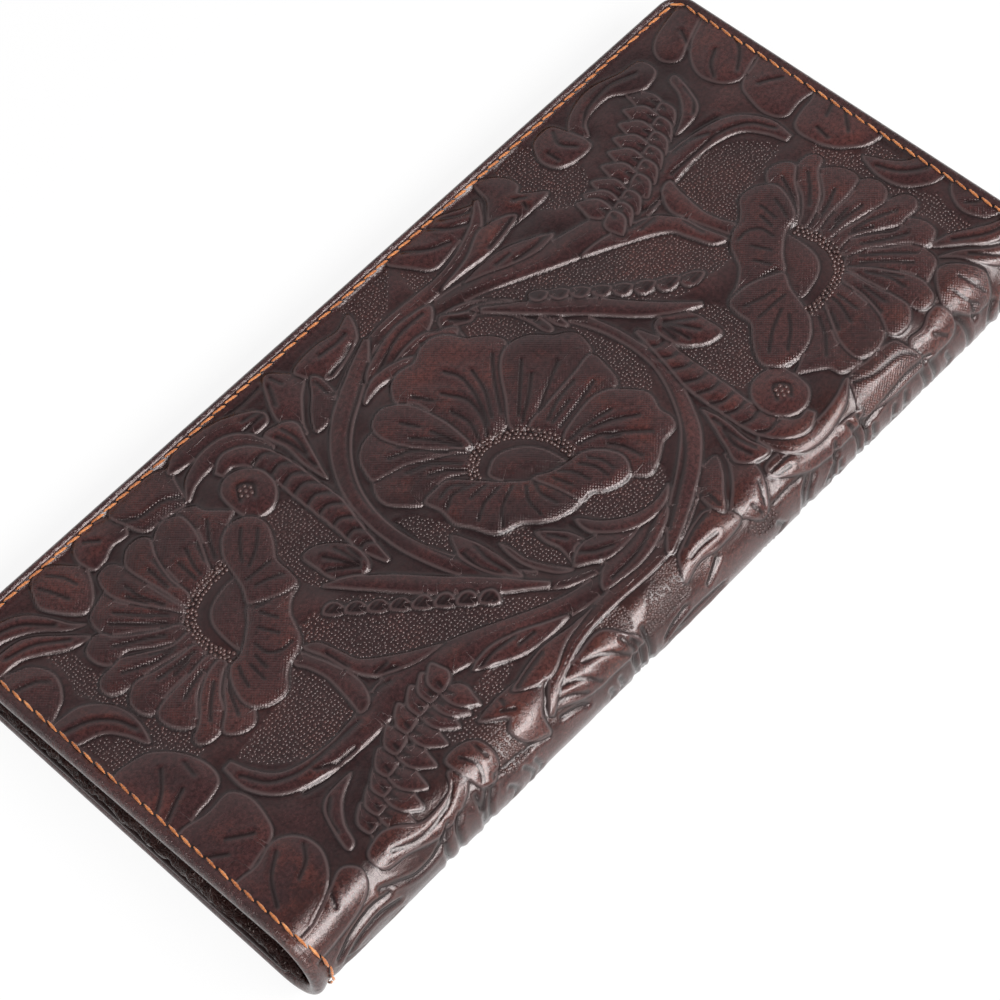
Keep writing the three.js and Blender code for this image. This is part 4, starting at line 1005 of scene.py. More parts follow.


# Browns of the tooled leather, from its darkest stain and painted shade to the painted highlight on the rims.
BROWNS = ((0.30, (0.019, 0.0078, 0.008)), (0.52, (0.038, 0.0142, 0.014)), (0.74, (0.066, 0.0225, 0.0200)))
STAIN_AND_SHADE = (0.006, 0.003, 0.003, 1.0)
WORN_RED = (0.105, 0.027, 0.019, 1.0)
FOLD_RED = (0.085, 0.026, 0.017, 1.0)
MATTED_BROWN = (0.010, 0.0046, 0.0046, 1.0)
RIM_HIGHLIGHT = (0.11, 0.070, 0.068, 1.0)
BARE_BEAD = (0.17, 0.095, 0.08, 1.0)
HOLE_SHADE = (0.004, 0.002, 0.002, 1.0)

# Heights of its fine grain in millimetres; the fold's wrinkles come on top of the faint ones everywhere.
PORE, FINE_GRAIN = 0.022, 0.045
WRINKLE, FOLD_WRINKLE = 0.003, 0.026
EDGE_PLEAT = 0.8
HATCHING = 0.034
KNIFE_CUT = 0.06
MATTING = 0.062
RUBBED_CREST = 0.07


def leather_colour(tree, flat, body, bent, crest):
    """Antiqued brown: reddened by wear where it stands high or bends, darker on the matted ground; stain with
    painted shade in the low places and the cuts, a painted highlight on the rims and painted shade in the
    needle holes.
    """
    matted, high = value_of(tree, "mat"), value_of(tree, "high")
    patch = noise(tree, body, 110.0, 4.0, 0.65)
    brown = ramp(tree, noise(tree, body, 38.0, 5.0, 0.6), BROWNS)
    rubbed = times(tree, fade(tree, patch, (0.5, 0), (0.75, 1)), fade(tree, high, (0.35, 0), (0.9, 0.6)))
    worn_and_shaded = mix(tree, rubbed, brown, WORN_RED)
    worn_and_shaded = mix(tree, times(tree, bent, fade(tree, patch, (0.35, 0.25), (0.65, 1))), worn_and_shaded, FOLD_RED)
    speck = fade(tree, noise(tree, flat, 13.0, 5.0, 0.7), (0.34, 0.4), (0.62, 1.3))
    worn_and_shaded = mix(tree, 1.0, worn_and_shaded, speck, "MULTIPLY")
    worn_and_shaded = mix(tree, times(tree, matted, 0.35), worn_and_shaded, MATTED_BROWN)
    # Antique stain and painted shade: the low places are darkened toward near black, less on the matted
    # ground.
    low_stain_and_shade = fade(tree, high, (0.0, 0.55), (0.42, 0))
    worn_and_shaded = mix(tree, times(tree, low_stain_and_shade, times_plus(tree, matted, -0.6, 1.0)), worn_and_shaded, STAIN_AND_SHADE)
    # Dark dye and painted shade: the knife cuts, and faintly the hatching, are darkened.
    in_cut = fade(tree, value_of(tree, "cut"), (0.0, 1), (0.2, 0.9), (0.6, 0))
    dark = math(tree, "MAXIMUM", times(tree, in_cut, 0.95), times(tree, value_of(tree, "hatch"), 0.1))
    darker = mix(tree, dark, worn_and_shaded, STAIN_AND_SHADE)
    # Painted highlight: a pale pink-grey is laid along the rims of the raised shapes.
    darker = mix(tree, times(tree, crest, 0.5), darker, RIM_HIGHLIGHT)
    darker = mix(tree, value_of(tree, "bare"), darker, BARE_BEAD)
    # Painted shade: the needle holes are painted near black.
    in_hole = fade(tree, value_of(tree, "hole"), (0.0, 1), (0.3, 1), (0.52, 0))
    return mix(tree, in_hole, darker, HOLE_SHADE)


def leather_grain(tree, flat, body, bent, crest):
    """Height of the fine grain, in millimetres."""
    pores, fine = cells(tree, flat, 26.0), noise(tree, flat, 55.0, 3.0, 0.6)
    grain = times_plus(tree, pores, PORE, times(tree, fine, FINE_GRAIN))
    stretched = add(tree, "ShaderNodeMapping", (("Vector", flat), ("Scale", (2.2, 0.8, 1.0)))).outputs[0]
    wrinkle = fade(tree, cells(tree, stretched, 4.5, "DISTANCE_TO_EDGE"), (0.0, 0), (0.12, 1))
    deeper = times_plus(tree, bent, FOLD_WRINKLE, WRINKLE)
    grain = math(tree, "ADD", grain, times(tree, wrinkle, deeper))
    turned_in = fade(tree, times(tree, value_of(tree, "edge"), 0.25), (0.2, 1), (0.45, 0))
    pleats = times(tree, noise(tree, body, 650.0, 4.0, 0.65), times(tree, turned_in, EDGE_PLEAT))
    grain = math(tree, "ADD", grain, pleats)
    lean = add(tree, "ShaderNodeMapping", (("Vector", flat), ("Rotation", (0.0, 0.0, 0.7)))).outputs[0]
    crossing = math(tree, "ADD", wave(tree, lean, 6.6, "X", 0.3), wave(tree, lean, 6.6, "Y", 0.3))
    weave = times(tree, crossing, times(tree, value_of(tree, "hatch"), HATCHING))
    knife = fade(tree, value_of(tree, "cut"), (0.0, 0), (0.2, 0.3), (0.5, 1))
    pebble = fade(tree, cells(tree, flat, 16.5, "F1", 0.5), (0.0, 1), (0.3, 0.72), (0.62, 0))
    ground = times(tree, times(tree, pebble, value_of(tree, "mat")), MATTING)
    height = math(tree, "ADD", math(tree, "ADD", grain, weave), times_plus(tree, knife, KNIFE_CUT, ground))
    return times_plus(tree, crest, RUBBED_CREST, height)


def tooled_leather():
    """Antiqued brown leather with a glossy top coat."""
    material, tree, base = shader("tooled_leather", IOR=1.62, Specular_Tint=(1.0, 0.87, 0.85, 1.0),
                                  Coat_Weight=0.3, Coat_IOR=1.5, Coat_Roughness=0.12)
    flat, body = on_sheet(tree), on_body(tree)
    down = add(tree, "ShaderNodeSeparateXYZ", (("Vector", flat),)).outputs["Y"]
    bent = fade(tree, times(tree, down, 0.1), (0.79, 0), (0.86, 0.6), (0.9, 0.55), (0.95, 0.2))
    rim = times_plus(tree, value_of(tree, "inward"), 0.5, 0.5)
    # crest marks the rims: it lifts them in the bump and paints a highlight on them.
    crest = fade(tree, rim, (0.4, 0), (0.62, 1), (0.86, 0), turn="EASE")
    paint(tree, base, leather_colour(tree, flat, body, bent, crest))
    bump(tree, base, leather_grain(tree, flat, body, bent, crest), MM)
    dull = times_plus(tree, value_of(tree, "mat"), 0.12, 0.13)
    rough = times_plus(tree, noise(tree, flat, 3.2, 4.0), 0.16, dull)
    tree.links.new(rough, base.inputs["Roughness"])
    return material


def orange_thread():
    """Waxed orange thread of twisted plies."""
    material, tree, base = shader("seam_thread", Roughness=0.5, Sheen_Weight=0.25, IOR=1.45)
    body = on_body(tree)
    oranges = ((0.3, (0.34, 0.10, 0.024)), (0.55, (0.54, 0.185, 0.05)), (0.75, (0.72, 0.30, 0.105)))
    paint(tree, base, ramp(tree, noise(tree, body, 260.0, 3.0), oranges))
    bump(tree, base, wave(tree, body, 900.0, "DIAGONAL", 1.5), 0.00008)
    return material


def inner_leather():
    """Thin dark brown leather with a fine crinkle."""
    material, tree, base = shader("inner_leather", IOR=1.55, Coat_Weight=0.4, Coat_Roughness=0.14,
                                  Roughness=0.34)
    flat = on_sheet(tree)
    browns = ((0.3, (0.016, 0.008, 0.007)), (0.6, (0.030, 0.014, 0.012)), (0.8, (0.048, 0.021, 0.016)))
    paint(tree, base, ramp(tree, noise(tree, on_body(tree), 60.0, 4.0), browns))
    crease = fade(tree, cells(tree, flat, 9.0, "DISTANCE_TO_EDGE"), (0.0, 0), (0.14, 0.8), (0.4, 1))
    bump(tree, base, times_plus(tree, noise(tree, flat, 30.0, 4.0), 0.35, times(tree, crease, 0.65)), 0.00007)
    return material


def crumpled_leather():
    """Black glossy leather of the gussets, creased sharply."""
    material, tree, base = shader("gusset_leather", IOR=1.28, Roughness=0.1,
                                  Specular_Tint=(1.0, 0.8, 0.75, 1.0))
    flat = on_sheet(tree)
    blacks = ((0.3, (0.010, 0.0045, 0.004)), (0.75, (0.034, 0.014, 0.012)))
    paint(tree, base, ramp(tree, noise(tree, flat, 6.0, 4.0), blacks))
    crease = fade(tree, cells(tree, flat, 12.0, "DISTANCE_TO_EDGE"), (0.0, 0), (0.2, 1))
    bump(tree, base, times_plus(tree, noise(tree, flat, 25.0, 3.0), 0.6, crease), 0.0001)
    return material


def lining_cloth():
    """Brown twill lining."""
    material, tree, base = shader("lining_cloth", Roughness=0.75, Sheen_Weight=0.3)
    flat = on_sheet(tree)
    twill = wave(tree, flat, 7.0, "DIAGONAL", 0.3)
    browns = ((0.3, (0.030, 0.019, 0.014)), (0.7, (0.055, 0.035, 0.026)))
    shade = ramp(tree, noise(tree, flat, 4.0, 4.0), browns)
    paint(tree, base, mix(tree, times(tree, twill, 0.35), shade, (0.014, 0.009, 0.008, 1.0)))
    bump(tree, base, times_plus(tree, wave(tree, flat, 12.0, "X"), 0.3, twill), 0.00009)
    return material


def zip_tape():
    """Dark woven tape with ribs along it."""
    material, tree, base = shader("zip_tape", Roughness=0.8, Sheen_Weight=0.2)
    flat = on_sheet(tree)
    weave = times(tree, wave(tree, flat, 5.0, "Y"), wave(tree, flat, 9.0, "X"))
    paint(tree, base, ramp(tree, weave, ((0.0, (0.010, 0.007, 0.006)), (1.0, (0.040, 0.026, 0.020)))))
    bump(tree, base, weave, 0.0001)
    return material


def zip_brass():
    """Brass with fine scratches and a little tarnish."""
    material, tree, base = shader("zip_brass", Metallic=1.0)
    body = on_body(tree)
    tarnish = noise(tree, body, 420.0, 5.0, 0.6)
    brasses = ((0.25, (0.33, 0.19, 0.06)), (0.55, (0.66, 0.43, 0.15)), (0.8, (0.80, 0.57, 0.25)))
    paint(tree, base, ramp(tree, tarnish, brasses))
    tree.links.new(times_plus(tree, tarnish, 0.3, 0.16), base.inputs["Roughness"])
    scratch = add(tree, "ShaderNodeMapping", (("Vector", body), ("Scale", (300.0, 5200.0, 2400.0))))
    bump(tree, base, noise(tree, scratch.outputs[0], 1.0, 2.0), 0.00001)
    return material


leather_finish = tooled_leather()
thread_finish = orange_thread()
inner_finish = inner_leather()
gusset_finish = crumpled_leather()
cloth_finish = lining_cloth()
tape_finish = zip_tape()
brass_finish = zip_brass()


# The cover: the tooled halves, the one in view as two fine meshes, and the two sides of the fold.
def cover_parts(grid):
    """Rows of the flat half and of its side of the fold, and the column in the middle."""
    u, flat_count = grid[0], grid[4]
    return slice(0, flat_count), slice(flat_count - 1, u.shape[0] - 1), u.shape[1] // 2


front_grid = cover_grid(SEEN_STEP)
back_grid = cover_grid(HIDDEN_STEP)
flat_part, fold_part, centre = cover_parts(front_grid)
front_near = leather_piece("front_cover_leather_near", front_grid, flat_part, slice(None, centre + 1),
                           to_front, True, leather_finish, True)
front_far = leather_piece("front_cover_leather_far", front_grid, flat_part, slice(centre, None),
                          to_front, True, leather_finish, True)
front_fold = leather_piece("fold_leather_front", front_grid, fold_part, slice(None), to_front, True,
                           leather_finish, False)
flat_part, fold_part, _ = cover_parts(back_grid)
back_cover = leather_piece("back_cover_leather", back_grid, flat_part, slice(None), to_back, False,
                           leather_finish, True)
back_fold = leather_piece("fold_leather_back", back_grid, fold_part, slice(None), to_back, False,
                          leather_finish, False)

# Where the two halves of the fold begin and end.
FOLD_CENTRE_LINE = along_leather(0.0, FOLD_MIDDLE, 0.0) * MM
FOLD_TO_FRONT = to_front(along_leather(0.0, FLAT_LENGTH, 0.0)) * MM
FOLD_TO_BACK = along_leather(0.0, FLAT_LENGTH, 0.0) * MM


def bend_front(piece):
    """Bakes a piece's placing into its mesh; the piece is built in place on the front side and not bent."""
    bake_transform(piece)


def bend_back(piece):
    """Bakes a piece's placing into its mesh; the piece is built in place on the back side and not bent."""
    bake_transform(piece)


# Which half a piece lies on: its name, its place and its bend.
SIDES = (("front", to_front, bend_front), ("back", to_back, bend_back))

for piece in (front_near, front_far):
    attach(piece, "front_half")
    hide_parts("front_cover", "front_edge_flap_open", "front_edge_flap_near", "front_edge_flap_far")
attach(back_cover, "back_half")
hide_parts("back_cover", "back_edge_flap_open", "back_edge_flap_near", "back_edge_flap_far")
bend_front(front_fold)
bend_back(back_fold)
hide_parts("spine_cover")
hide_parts("spine_cover")


# Stitching, set along the seams by one node tree.
def thread_bar():
    """One stitch: a short twisted bar whose ends dip into the needle holes."""
    rings, sides = 8, 6
    points = []
    for k in range(rings + 1):
        t = k / rings * 2 - 1
        full = np.sqrt(max(1 - t ** 4, 0.0)) * 0.9 + 0.1
        for j in range(sides):
            angle = 2 * np.pi * j / sides
            ply = 1 + 0.22 * np.cos(2 * (angle - 2.4 * t))
            points.append((t, full * ply * np.cos(angle), full * ply * np.sin(angle) - 0.9 * t ** 4))
    faces = []
    for k in range(rings):
        for j in range(sides):
            a, b = k * sides + j, k * sides + (j + 1) % sides
            faces.append((a, a + sides, b + sides, b))
    faces.append(tuple(range(sides)))
    faces.append(tuple(range(rings * sides, (rings + 1) * sides))[::-1])
    return finish_mesh("thread_bar", np.array(points) / MM, faces, thread_finish)


def setting_tree(name, shape_object):
    """Sets one shape on every point, along its row and standing on the leather."""
    tree = bpy.data.node_groups.new(name, "GeometryNodeTree")
    face = tree.interface
    face.new_socket("Geometry", in_out="INPUT", socket_type="NodeSocketGeometry")
    for size_name in ("Length", "Width", "Height"):
        face.new_socket(size_name, in_out="INPUT", socket_type="NodeSocketFloat")
    face.new_socket("Finish", in_out="INPUT", socket_type="NodeSocketMaterial")
    face.new_socket("Seed", in_out="INPUT", socket_type="NodeSocketInt")
    face.new_socket("Geometry", in_out="OUTPUT", socket_type="NodeSocketGeometry")
    start = tree.nodes.new("NodeGroupInput")
    end = tree.nodes.new("NodeGroupOutput")
    shape = add(tree, "GeometryNodeObjectInfo", (("Object", shape_object),))
    half = add(tree, "ShaderNodeCombineXYZ", (("X", start.outputs["Length"]),
                                              ("Y", start.outputs["Width"]),
                                              ("Z", start.outputs["Height"])))
    size = add(tree, "ShaderNodeVectorMath", ((0, half.outputs[0]), (1, (0.5, 0.5, 0.5))),
               operation="MULTIPLY")
    vary = add(tree, "FunctionNodeRandomValue", (("Seed", start.outputs["Seed"]),), data_type="FLOAT_VECTOR")
    vary.inputs[0].default_value = (0.94, 0.93, 0.9)
    vary.inputs[1].default_value = (1.04, 1.07, 1.1)
    scale = add(tree, "ShaderNodeVectorMath", ((0, size.outputs[0]), (1, vary.outputs[0])),
                operation="MULTIPLY")
    along = add(tree, "GeometryNodeInputNamedAttribute", (("Name", "along"),), data_type="FLOAT_VECTOR")
    up = add(tree, "GeometryNodeInputNamedAttribute", (("Name", "up"),), data_type="FLOAT_VECTOR")
    turn = add(tree, "FunctionNodeAxesToRotation", ((0, along.outputs[0]), (1, up.outputs[0])),
               primary_axis="X", secondary_axis="Z")
    spots = add(tree, "GeometryNodeMeshToPoints", (("Mesh", start.outputs["Geometry"]),))
    placed = add(tree, "GeometryNodeInstanceOnPoints",
                 (("Points", spots.outputs[0]), ("Instance", shape.outputs["Geometry"]),
                  ("Rotation", turn.outputs[0]), ("Scale", scale.outputs[0])))
    real = add(tree, "GeometryNodeRealizeInstances", (("Geometry", placed.outputs[0]),))
    done = add(tree, "GeometryNodeSetMaterial",
               (("Geometry", real.outputs[0]), ("Material", start.outputs["Finish"])))
    tree.links.new(done.outputs[0], end.inputs[0])
    return tree


STITCH_LENGTH, STITCH_WIDTH, STITCH_HEIGHT = 3.06, 0.5, 0.48
STITCH_LIFT = -0.06
STITCH_SLANT = 0.14
bar = thread_bar()
stitching = setting_tree("stitching", bar)


def set_on_points(name, tree, places, along, up, size, finish):
    """A shape set on every place by a node tree, as one plain mesh."""
    mesh = bpy.data.meshes.new(name)
    mesh.from_pydata((np.asarray(places) * MM).tolist(), [], [])
    for key, value in (("along", along), ("up", up)):
        mesh.attributes.new(key, "FLOAT_VECTOR", "POINT").data.foreach_set(
            "vector", np.asarray(value, np.float32).ravel())
    piece = bpy.data.objects.new(name, mesh)
    bpy.context.scene.collection.objects.link(piece)
    modifier = piece.modifiers.new("setting", "NODES")
    modifier.node_group = tree
    wanted = {"Length": size[0] * MM, "Width": size[1] * MM, "Height": size[2] * MM, "Finish": finish,
              "Seed": SEED}
    for item in tree.interface.items_tree:
        if item.name in wanted:
            modifier[item.identifier] = wanted[item.name]
    graph = bpy.context.evaluated_depsgraph_get()
    made = bpy.data.meshes.new_from_object(piece.evaluated_get(graph))
    piece.modifiers.remove(modifier)
    piece.data = made
    made.polygons.foreach_set("use_smooth", np.ones(len(made.polygons), bool))
    bpy.data.meshes.remove(mesh)
    return piece


def stitches(name, places, along, up, length=STITCH_LENGTH, height=STITCH_HEIGHT):
    """A row of stitches as one plain mesh, in millimetres."""
    piece = set_on_points(name, stitching, places, along, up, (length, STITCH_WIDTH, height), thread_finish)
    return piece


def surface_rows(line_places, line_along, place, lift, slant):
    """Places, directions and ups of stitches that lie on the leather's outer face."""
    def lay(uv, depth):
        return place(along_leather(uv[:, 0], uv[:, 1], depth))
    middle = lay(line_places, -lift)
    up = lay(line_places, -lift - 1.0) - middle
    lean = line_along + slant * np.stack([-line_along[:, 1], line_along[:, 0]], axis=1)
    ahead = lay(line_places + 0.5 * lean, -lift) - lay(line_places - 0.5 * lean, -lift)
    return middle, ahead / np.linalg.norm(ahead, axis=1)[:, None], up


seam_places, seam_ahead = evenly(seam_line(), STITCH_PITCH, STITCH_PITCH / 2)
for side, place, bend in SIDES:
    middle, ahead, up = surface_rows(seam_places, seam_ahead, place, STITCH_LIFT, STITCH_SLANT)
    bend(stitches(f"{side}_seam_stitches", middle, ahead, up))

# Beads of the flowers and pebbles of the matted ground, raised one by one.
PEBBLE_PITCH_U, PEBBLE_PITCH_S = 0.74, 0.68
PEBBLE_SHIFT = 0.2
PEBBLE_SIZE = (0.76, 0.76, 0.26)
PEBBLE_CLEAR = 0.42
PEBBLE_BARE = 0.03
SEED_SIZE = (1.0, 1.0, 0.66)
SEED_BARE = 0.2
MAT_FROM, MAT_TO = 3.6, 96.6
MAT_HALF = 92.0


def leather_bead():
    """A low dome with a closed foot."""
    sides = 6
    points = [(0.0, 0.0, 1.0)]
    for reach, high in ((0.72, 0.66), (1.0, -0.6)):
        turns = np.linspace(0, 2 * np.pi, sides, endpoint=False)
        points += [(reach * np.cos(a), reach * np.sin(a), high) for a in turns]
    faces = [(0, 1 + k, 1 + (k + 1) % sides) for k in range(sides)]
    faces += [(1 + k, 1 + sides + k, 1 + sides + (k + 1) % sides, 1 + (k + 1) % sides) for k in range(sides)]
    faces.append(tuple(range(2 * sides, sides, -1)))
    return finish_mesh("leather_bead", np.array(points) / MM, faces, leather_finish)


def pebble_spots():
    """Places of the pebbles in uneven rows over the matted ground."""
    chance = np.random.default_rng(SEED)
    u, s = np.meshgrid(np.arange(-MAT_HALF, MAT_HALF, PEBBLE_PITCH_U),
                       np.arange(MAT_FROM, MAT_TO, PEBBLE_PITCH_S))
    u = u + chance.uniform(-PEBBLE_SHIFT, PEBBLE_SHIFT, u.shape)
    s = s + chance.uniform(-PEBBLE_SHIFT, PEBBLE_SHIFT, s.shape)
    clear = (sample(mat, u, s) > 0.9) & (sample(cut, u, s) > PEBBLE_CLEAR)
    return np.stack([u[clear], s[clear]], axis=1)


dome = leather_bead()
beading = setting_tree("beading", dome)
pebble_uv = pebble_spots()
seed_uv = np.array(bead_spots)
for side, place, bend in SIDES:
    for kind, uv, size, bare in (("pebbles", pebble_uv, PEBBLE_SIZE, PEBBLE_BARE),
                                 ("seed_beads", seed_uv, SEED_SIZE, SEED_BARE)):
        ahead_uv = np.tile((1.0, 0.0), (len(uv), 1))
        middle, ahead, up = surface_rows(uv, ahead_uv, place, -pressed(uv[:, 0], uv[:, 1]), 0.0)
        piece = set_on_points(f"{side}_{kind}", beading, middle, ahead, up, size, leather_finish)
        count = len(piece.data.vertices) // len(uv)
        plain = np.ones(len(piece.data.vertices))
        values = {"cut": CUT_REACH, "hole": CUT_REACH, "high": 1.0, "inward": -RIM_REACH, "edge": CUT_REACH,
                  "mat": 1.0, "bare": bare}
        values = {key: plain * value for key, value in values.items()}
        set_values(piece.data, values, np.repeat(uv, count, axis=0))
        bend(piece)


# Inside of the wallet: linings, banknote panels, card pockets and the coin pocket with its zip.
EDGE_TURNS = np.radians((30, 60, 90, 120, 150))
EDGE_ROLL = 0.45


def rounded(p, q, half, low, high, corner_low, corner_high):
    """Brings the corners of a square grid onto round ones."""
    for corner, edge, way in ((corner_low, low, -1), (corner_high, high, 1)):
        if corner <= 0:
            continue
        in_p = np.abs(p) - (half - corner)
        in_q = way * (q - edge) + corner
        there = (in_p > 0) & (in_q > 0)
        most = np.maximum(in_p, in_q)
        lean = np.pi / 4 * np.minimum(in_p, in_q) / np.where(there, most, 1.0)
        to_p = np.where(in_p > in_q, np.cos(lean), np.sin(lean))
        to_q = np.where(in_p > in_q, np.sin(lean), np.cos(lean))
        q = np.where(there, edge + way * (most * to_q - corner), q)
        p = np.where(there, np.sign(p) * (half - corner + most * to_p), p)
    return p, q


def slab(name, half, low, high, thickness, place, material, corners=(0.0, 0.0), step=1.2):
    """A sheet with rounded edges; place turns (across, along, height in the sheet) into points."""
    roll = thickness * EDGE_ROLL
    p, q = np.meshgrid(spread(-half + roll, half - roll, step), spread(low + roll, high - roll, step))
    p, q = rounded(p, q, half - roll, low + roll, high - roll, *corners)
    index = np.arange(p.size).reshape(p.shape)
    loop = np.concatenate([index[0, :-1], index[:-1, -1], index[-1, :0:-1], index[:0:-1, 0]])
    ring_p, ring_q = p.ravel()[loop], q.ravel()[loop]
    out_p = np.roll(ring_q, -1) - np.roll(ring_q, 1)
    out_q = np.roll(ring_p, 1) - np.roll(ring_p, -1)
    out = np.maximum(np.hypot(out_p, out_q), 1e-9)
    levels = [(ring_p + roll * np.sin(a) * out_p / out, ring_q + roll * np.sin(a) * out_q / out,
               np.full(len(loop), thickness / 2 * (1 + np.cos(a)))) for a in EDGE_TURNS]
    all_p = np.concatenate([p.ravel(), p.ravel()] + [level[0] for level in levels])
    all_q = np.concatenate([q.ravel(), q.ravel()] + [level[1] for level in levels])
    all_h = np.concatenate([np.full(p.size, thickness), np.zeros(p.size)] + [level[2] for level in levels])
    points = place(all_p, all_q, all_h)
    top = grid_faces(*p.shape)
    edge_rings = [2 * p.size + k * len(loop) + np.arange(len(loop)) for k in range(len(levels))]
    rings = [loop] + edge_rings + [loop + p.size]
    walls = [np.stack([below, np.roll(below, -1), np.roll(above, -1), above], axis=1)
             for above, below in zip(rings[:-1], rings[1:])]
    faces = np.concatenate([top, top[:, ::-1] + p.size] + walls)
    a, b, c, d = (points[faces[:, k]] for k in range(4))
    if np.sum(a * (np.cross(b, c) + np.cross(c, d))) < 0:
        faces = faces[:, ::-1]
    piece = finish_mesh(name, points, faces.tolist(), material)
    set_values(piece.data, {}, np.stack([all_p, all_q], axis=1))
    return piece


def fit(piece, body, node):
    """Puts a piece on its body, in the place of a packed one."""
    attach(piece, body)
    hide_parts(node)


def ruffle(p, q, rough):
    """Slow swells of leather that lies free."""
    return rough * (np.sin(p / 17.0 + 0.7) * np.sin(q / 9.0 + 0.3) + 0.6 * np.sin(p / 7.5 - q / 12.0 + 1.9))


def dent(far, width):
    """1 on a line, falling away over a width."""
    return np.exp(-(far / width) ** 2)


def crumple(p, q, pitch, seed):
    """Sharp little facets from -1 to 1."""
    i, j = p / pitch + 400.0, q / pitch + 400.0
    draw = np.random.default_rng(seed).uniform(-1, 1, (1024, 1024))
    i0, j0 = i.astype(int), j.astype(int)
    fi, fj = i - i0, j - j0
    return ((draw[j0, i0] * (1 - fi) + draw[j0, i0 + 1] * fi) * (1 - fj)
            + (draw[j0 + 1, i0] * (1 - fi) + draw[j0 + 1, i0 + 1] * fi) * fj)


# Linings: cloth behind the banknote panels, round the fold from one half to the other.
LINING_HALF = LENGTH / 2 - FLAP_WIDTH - SEAT_GAP
LINING_START = FLAP_WIDTH + SEAT_GAP
LINING_SLACK = 0.07
for side, place, bend in SIDES:
    def lay_lining(p, q, h):
        slack = LINING_SLACK * np.sin(q / 3.1 + np.sin(p / 21.0)) * np.sin(p / 26.0)
        return place(along_leather(p, q, LINING_LOW + LINING_CLOTH - h + slack))
    cloth = slab(f"{side}_lining_cloth", LINING_HALF, LINING_START, FOLD_MIDDLE, LINING_CLOTH, lay_lining,
                 cloth_finish)
    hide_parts(f"{side}_lining", "spine_lining")
    bend(cloth)

# Banknote panels: leather over the whole half, sewn in with the cover's seam, open toward the fold.
PANEL_HALF = LENGTH / 2 - PANEL_INSET
PANEL_TOP = OPEN_Y - PANEL_INSET
PANEL_MOUTH = STRIP_TURN - COIN_LEATHER - SEAT_GAP
PANEL_SEWN_DOWN = 0.24
SEWN_TO, FREE_FROM = 2.0, 9.0
for side, place, _ in SIDES:
    def lay_panel(p, q, h):
        near = np.minimum(PANEL_HALF - np.abs(p), PANEL_TOP - q)
        sewn = 1 - smoothstep(SEWN_TO, FREE_FROM, near)
        groove = 0.16 * dent(near - SEAM_INSET + 0.3, 0.7)
        crease = 0.12 * dent(q - PANEL_MOUTH - 2.2, 0.45)
        lift = ruffle(p, q, 0.05) * (1 - sewn)
        z = PANEL_LOW + h - PANEL_SEWN_DOWN * sewn + lift - (groove + crease) * (h > PANEL_LEATHER / 2)
        return place(np.stack([p, q, z], axis=-1))
    panel = slab(f"{side}_banknote_leather", PANEL_HALF, PANEL_MOUTH, PANEL_TOP, PANEL_LEATHER, lay_panel,
                 inner_finish, (0.0, 4.7), 1.1)
    fit(panel, f"{side}_half", f"{side}_banknote_panel")

# Card pockets: three tiers in two columns, each behind the one before, mouths toward the fold.
POCKET_HALF = LENGTH / 2 - POCKET_INSET
POCKET_SEWN = OPEN_Y - POCKET_SEAM
PLY = 0.6


def pocket_swell(x):
    """How free the strip is: 0 at the side seams and the middle seam, 1 between."""
    from_middle = smoothstep(0.0, 15.0, np.abs(x))
    from_side = 1 - smoothstep(POCKET_HALF - 13.0, POCKET_HALF - 1.0, np.abs(x))
    return 0.12 + 0.88 * from_middle * from_side


def pocket_height(tier, x, run):
    """Height of a pocket's strip over the half's outer face, run millimetres from its sewn edge."""
    behind = sum(PLY * smoothstep(POCKET_STEP * k - 3.0, POCKET_STEP * k, run) for k in range(1, 4 - tier))
    free = pocket_swell(x)
    return POCKET_SEAT + free * run * np.sin(POCKET_RISE) + (1 - free) * (behind - 0.25)


for tier in TIERS:
    def lay_pocket(p, q, h):
        crease = 0.10 * dent(POCKET_DEPTH - q - 1.8, 0.4) * (h > POCKET_LEATHER / 2)
        y = POCKET_SEWN - POCKET_STEP * (tier - 1) - q * np.cos(POCKET_RISE)
        z = pocket_height(tier, p, q) + h - crease + ruffle(p, q, 0.03)
        return to_front(np.stack([p, y, z], axis=-1))
    pocket = slab(f"card_pocket_leather_{tier}", POCKET_HALF, 0.0, POCKET_DEPTH, POCKET_LEATHER, lay_pocket,
                  inner_finish, (2.5, 1.2), 1.2)
    fit(pocket, "front_half", f"card_pocket_{tier}")

# Coin pocket: a lower panel, a narrow upper strip turned down to the banknote panel, gussets at the ends.
COIN_HALF = LENGTH / 2 - COIN_INSET
COIN_TOP = OPEN_Y - COIN_SEAM
COIN_ZIP_EDGE = ZIP_Y + ZIP_WINDOW
COIN_SEAT = POCKET_SEAT
STRIP_START = ZIP_Y - ZIP_WINDOW
STRIP_HEIGHT = ZIP_MIDDLE + TAPE_CLOTH / 2 + SEAT_GAP
COIN_RISE = (STRIP_HEIGHT - COIN_SEAT) / (COIN_TOP - COIN_ZIP_EDGE)
STRIP_BEND = 0.35
STRIP_FLAT = STRIP_START - STRIP_TURN - STRIP_BEND
STRIP_LONG = STRIP_FLAT + STRIP_BEND * np.pi / 2 + STRIP_HEIGHT - STRIP_BEND - COIN_SEAT


def coin_height(y):
    return COIN_SEAT + COIN_RISE * (COIN_TOP - y)


def lay_coin_front(p, q, h):
    from_side = 1 - smoothstep(COIN_HALF - 10.0, COIN_HALF, np.abs(p))
    free = from_side * (1 - smoothstep(COIN_TOP - 9.0, COIN_TOP, q))
    crease = 0.12 * dent(q - COIN_ZIP_EDGE - 1.9, 0.45) * (h > COIN_LEATHER / 2)
    return np.stack([p, q, coin_height(q) + h - crease + free * (0.1 + ruffle(p, q, 0.05))], axis=-1)


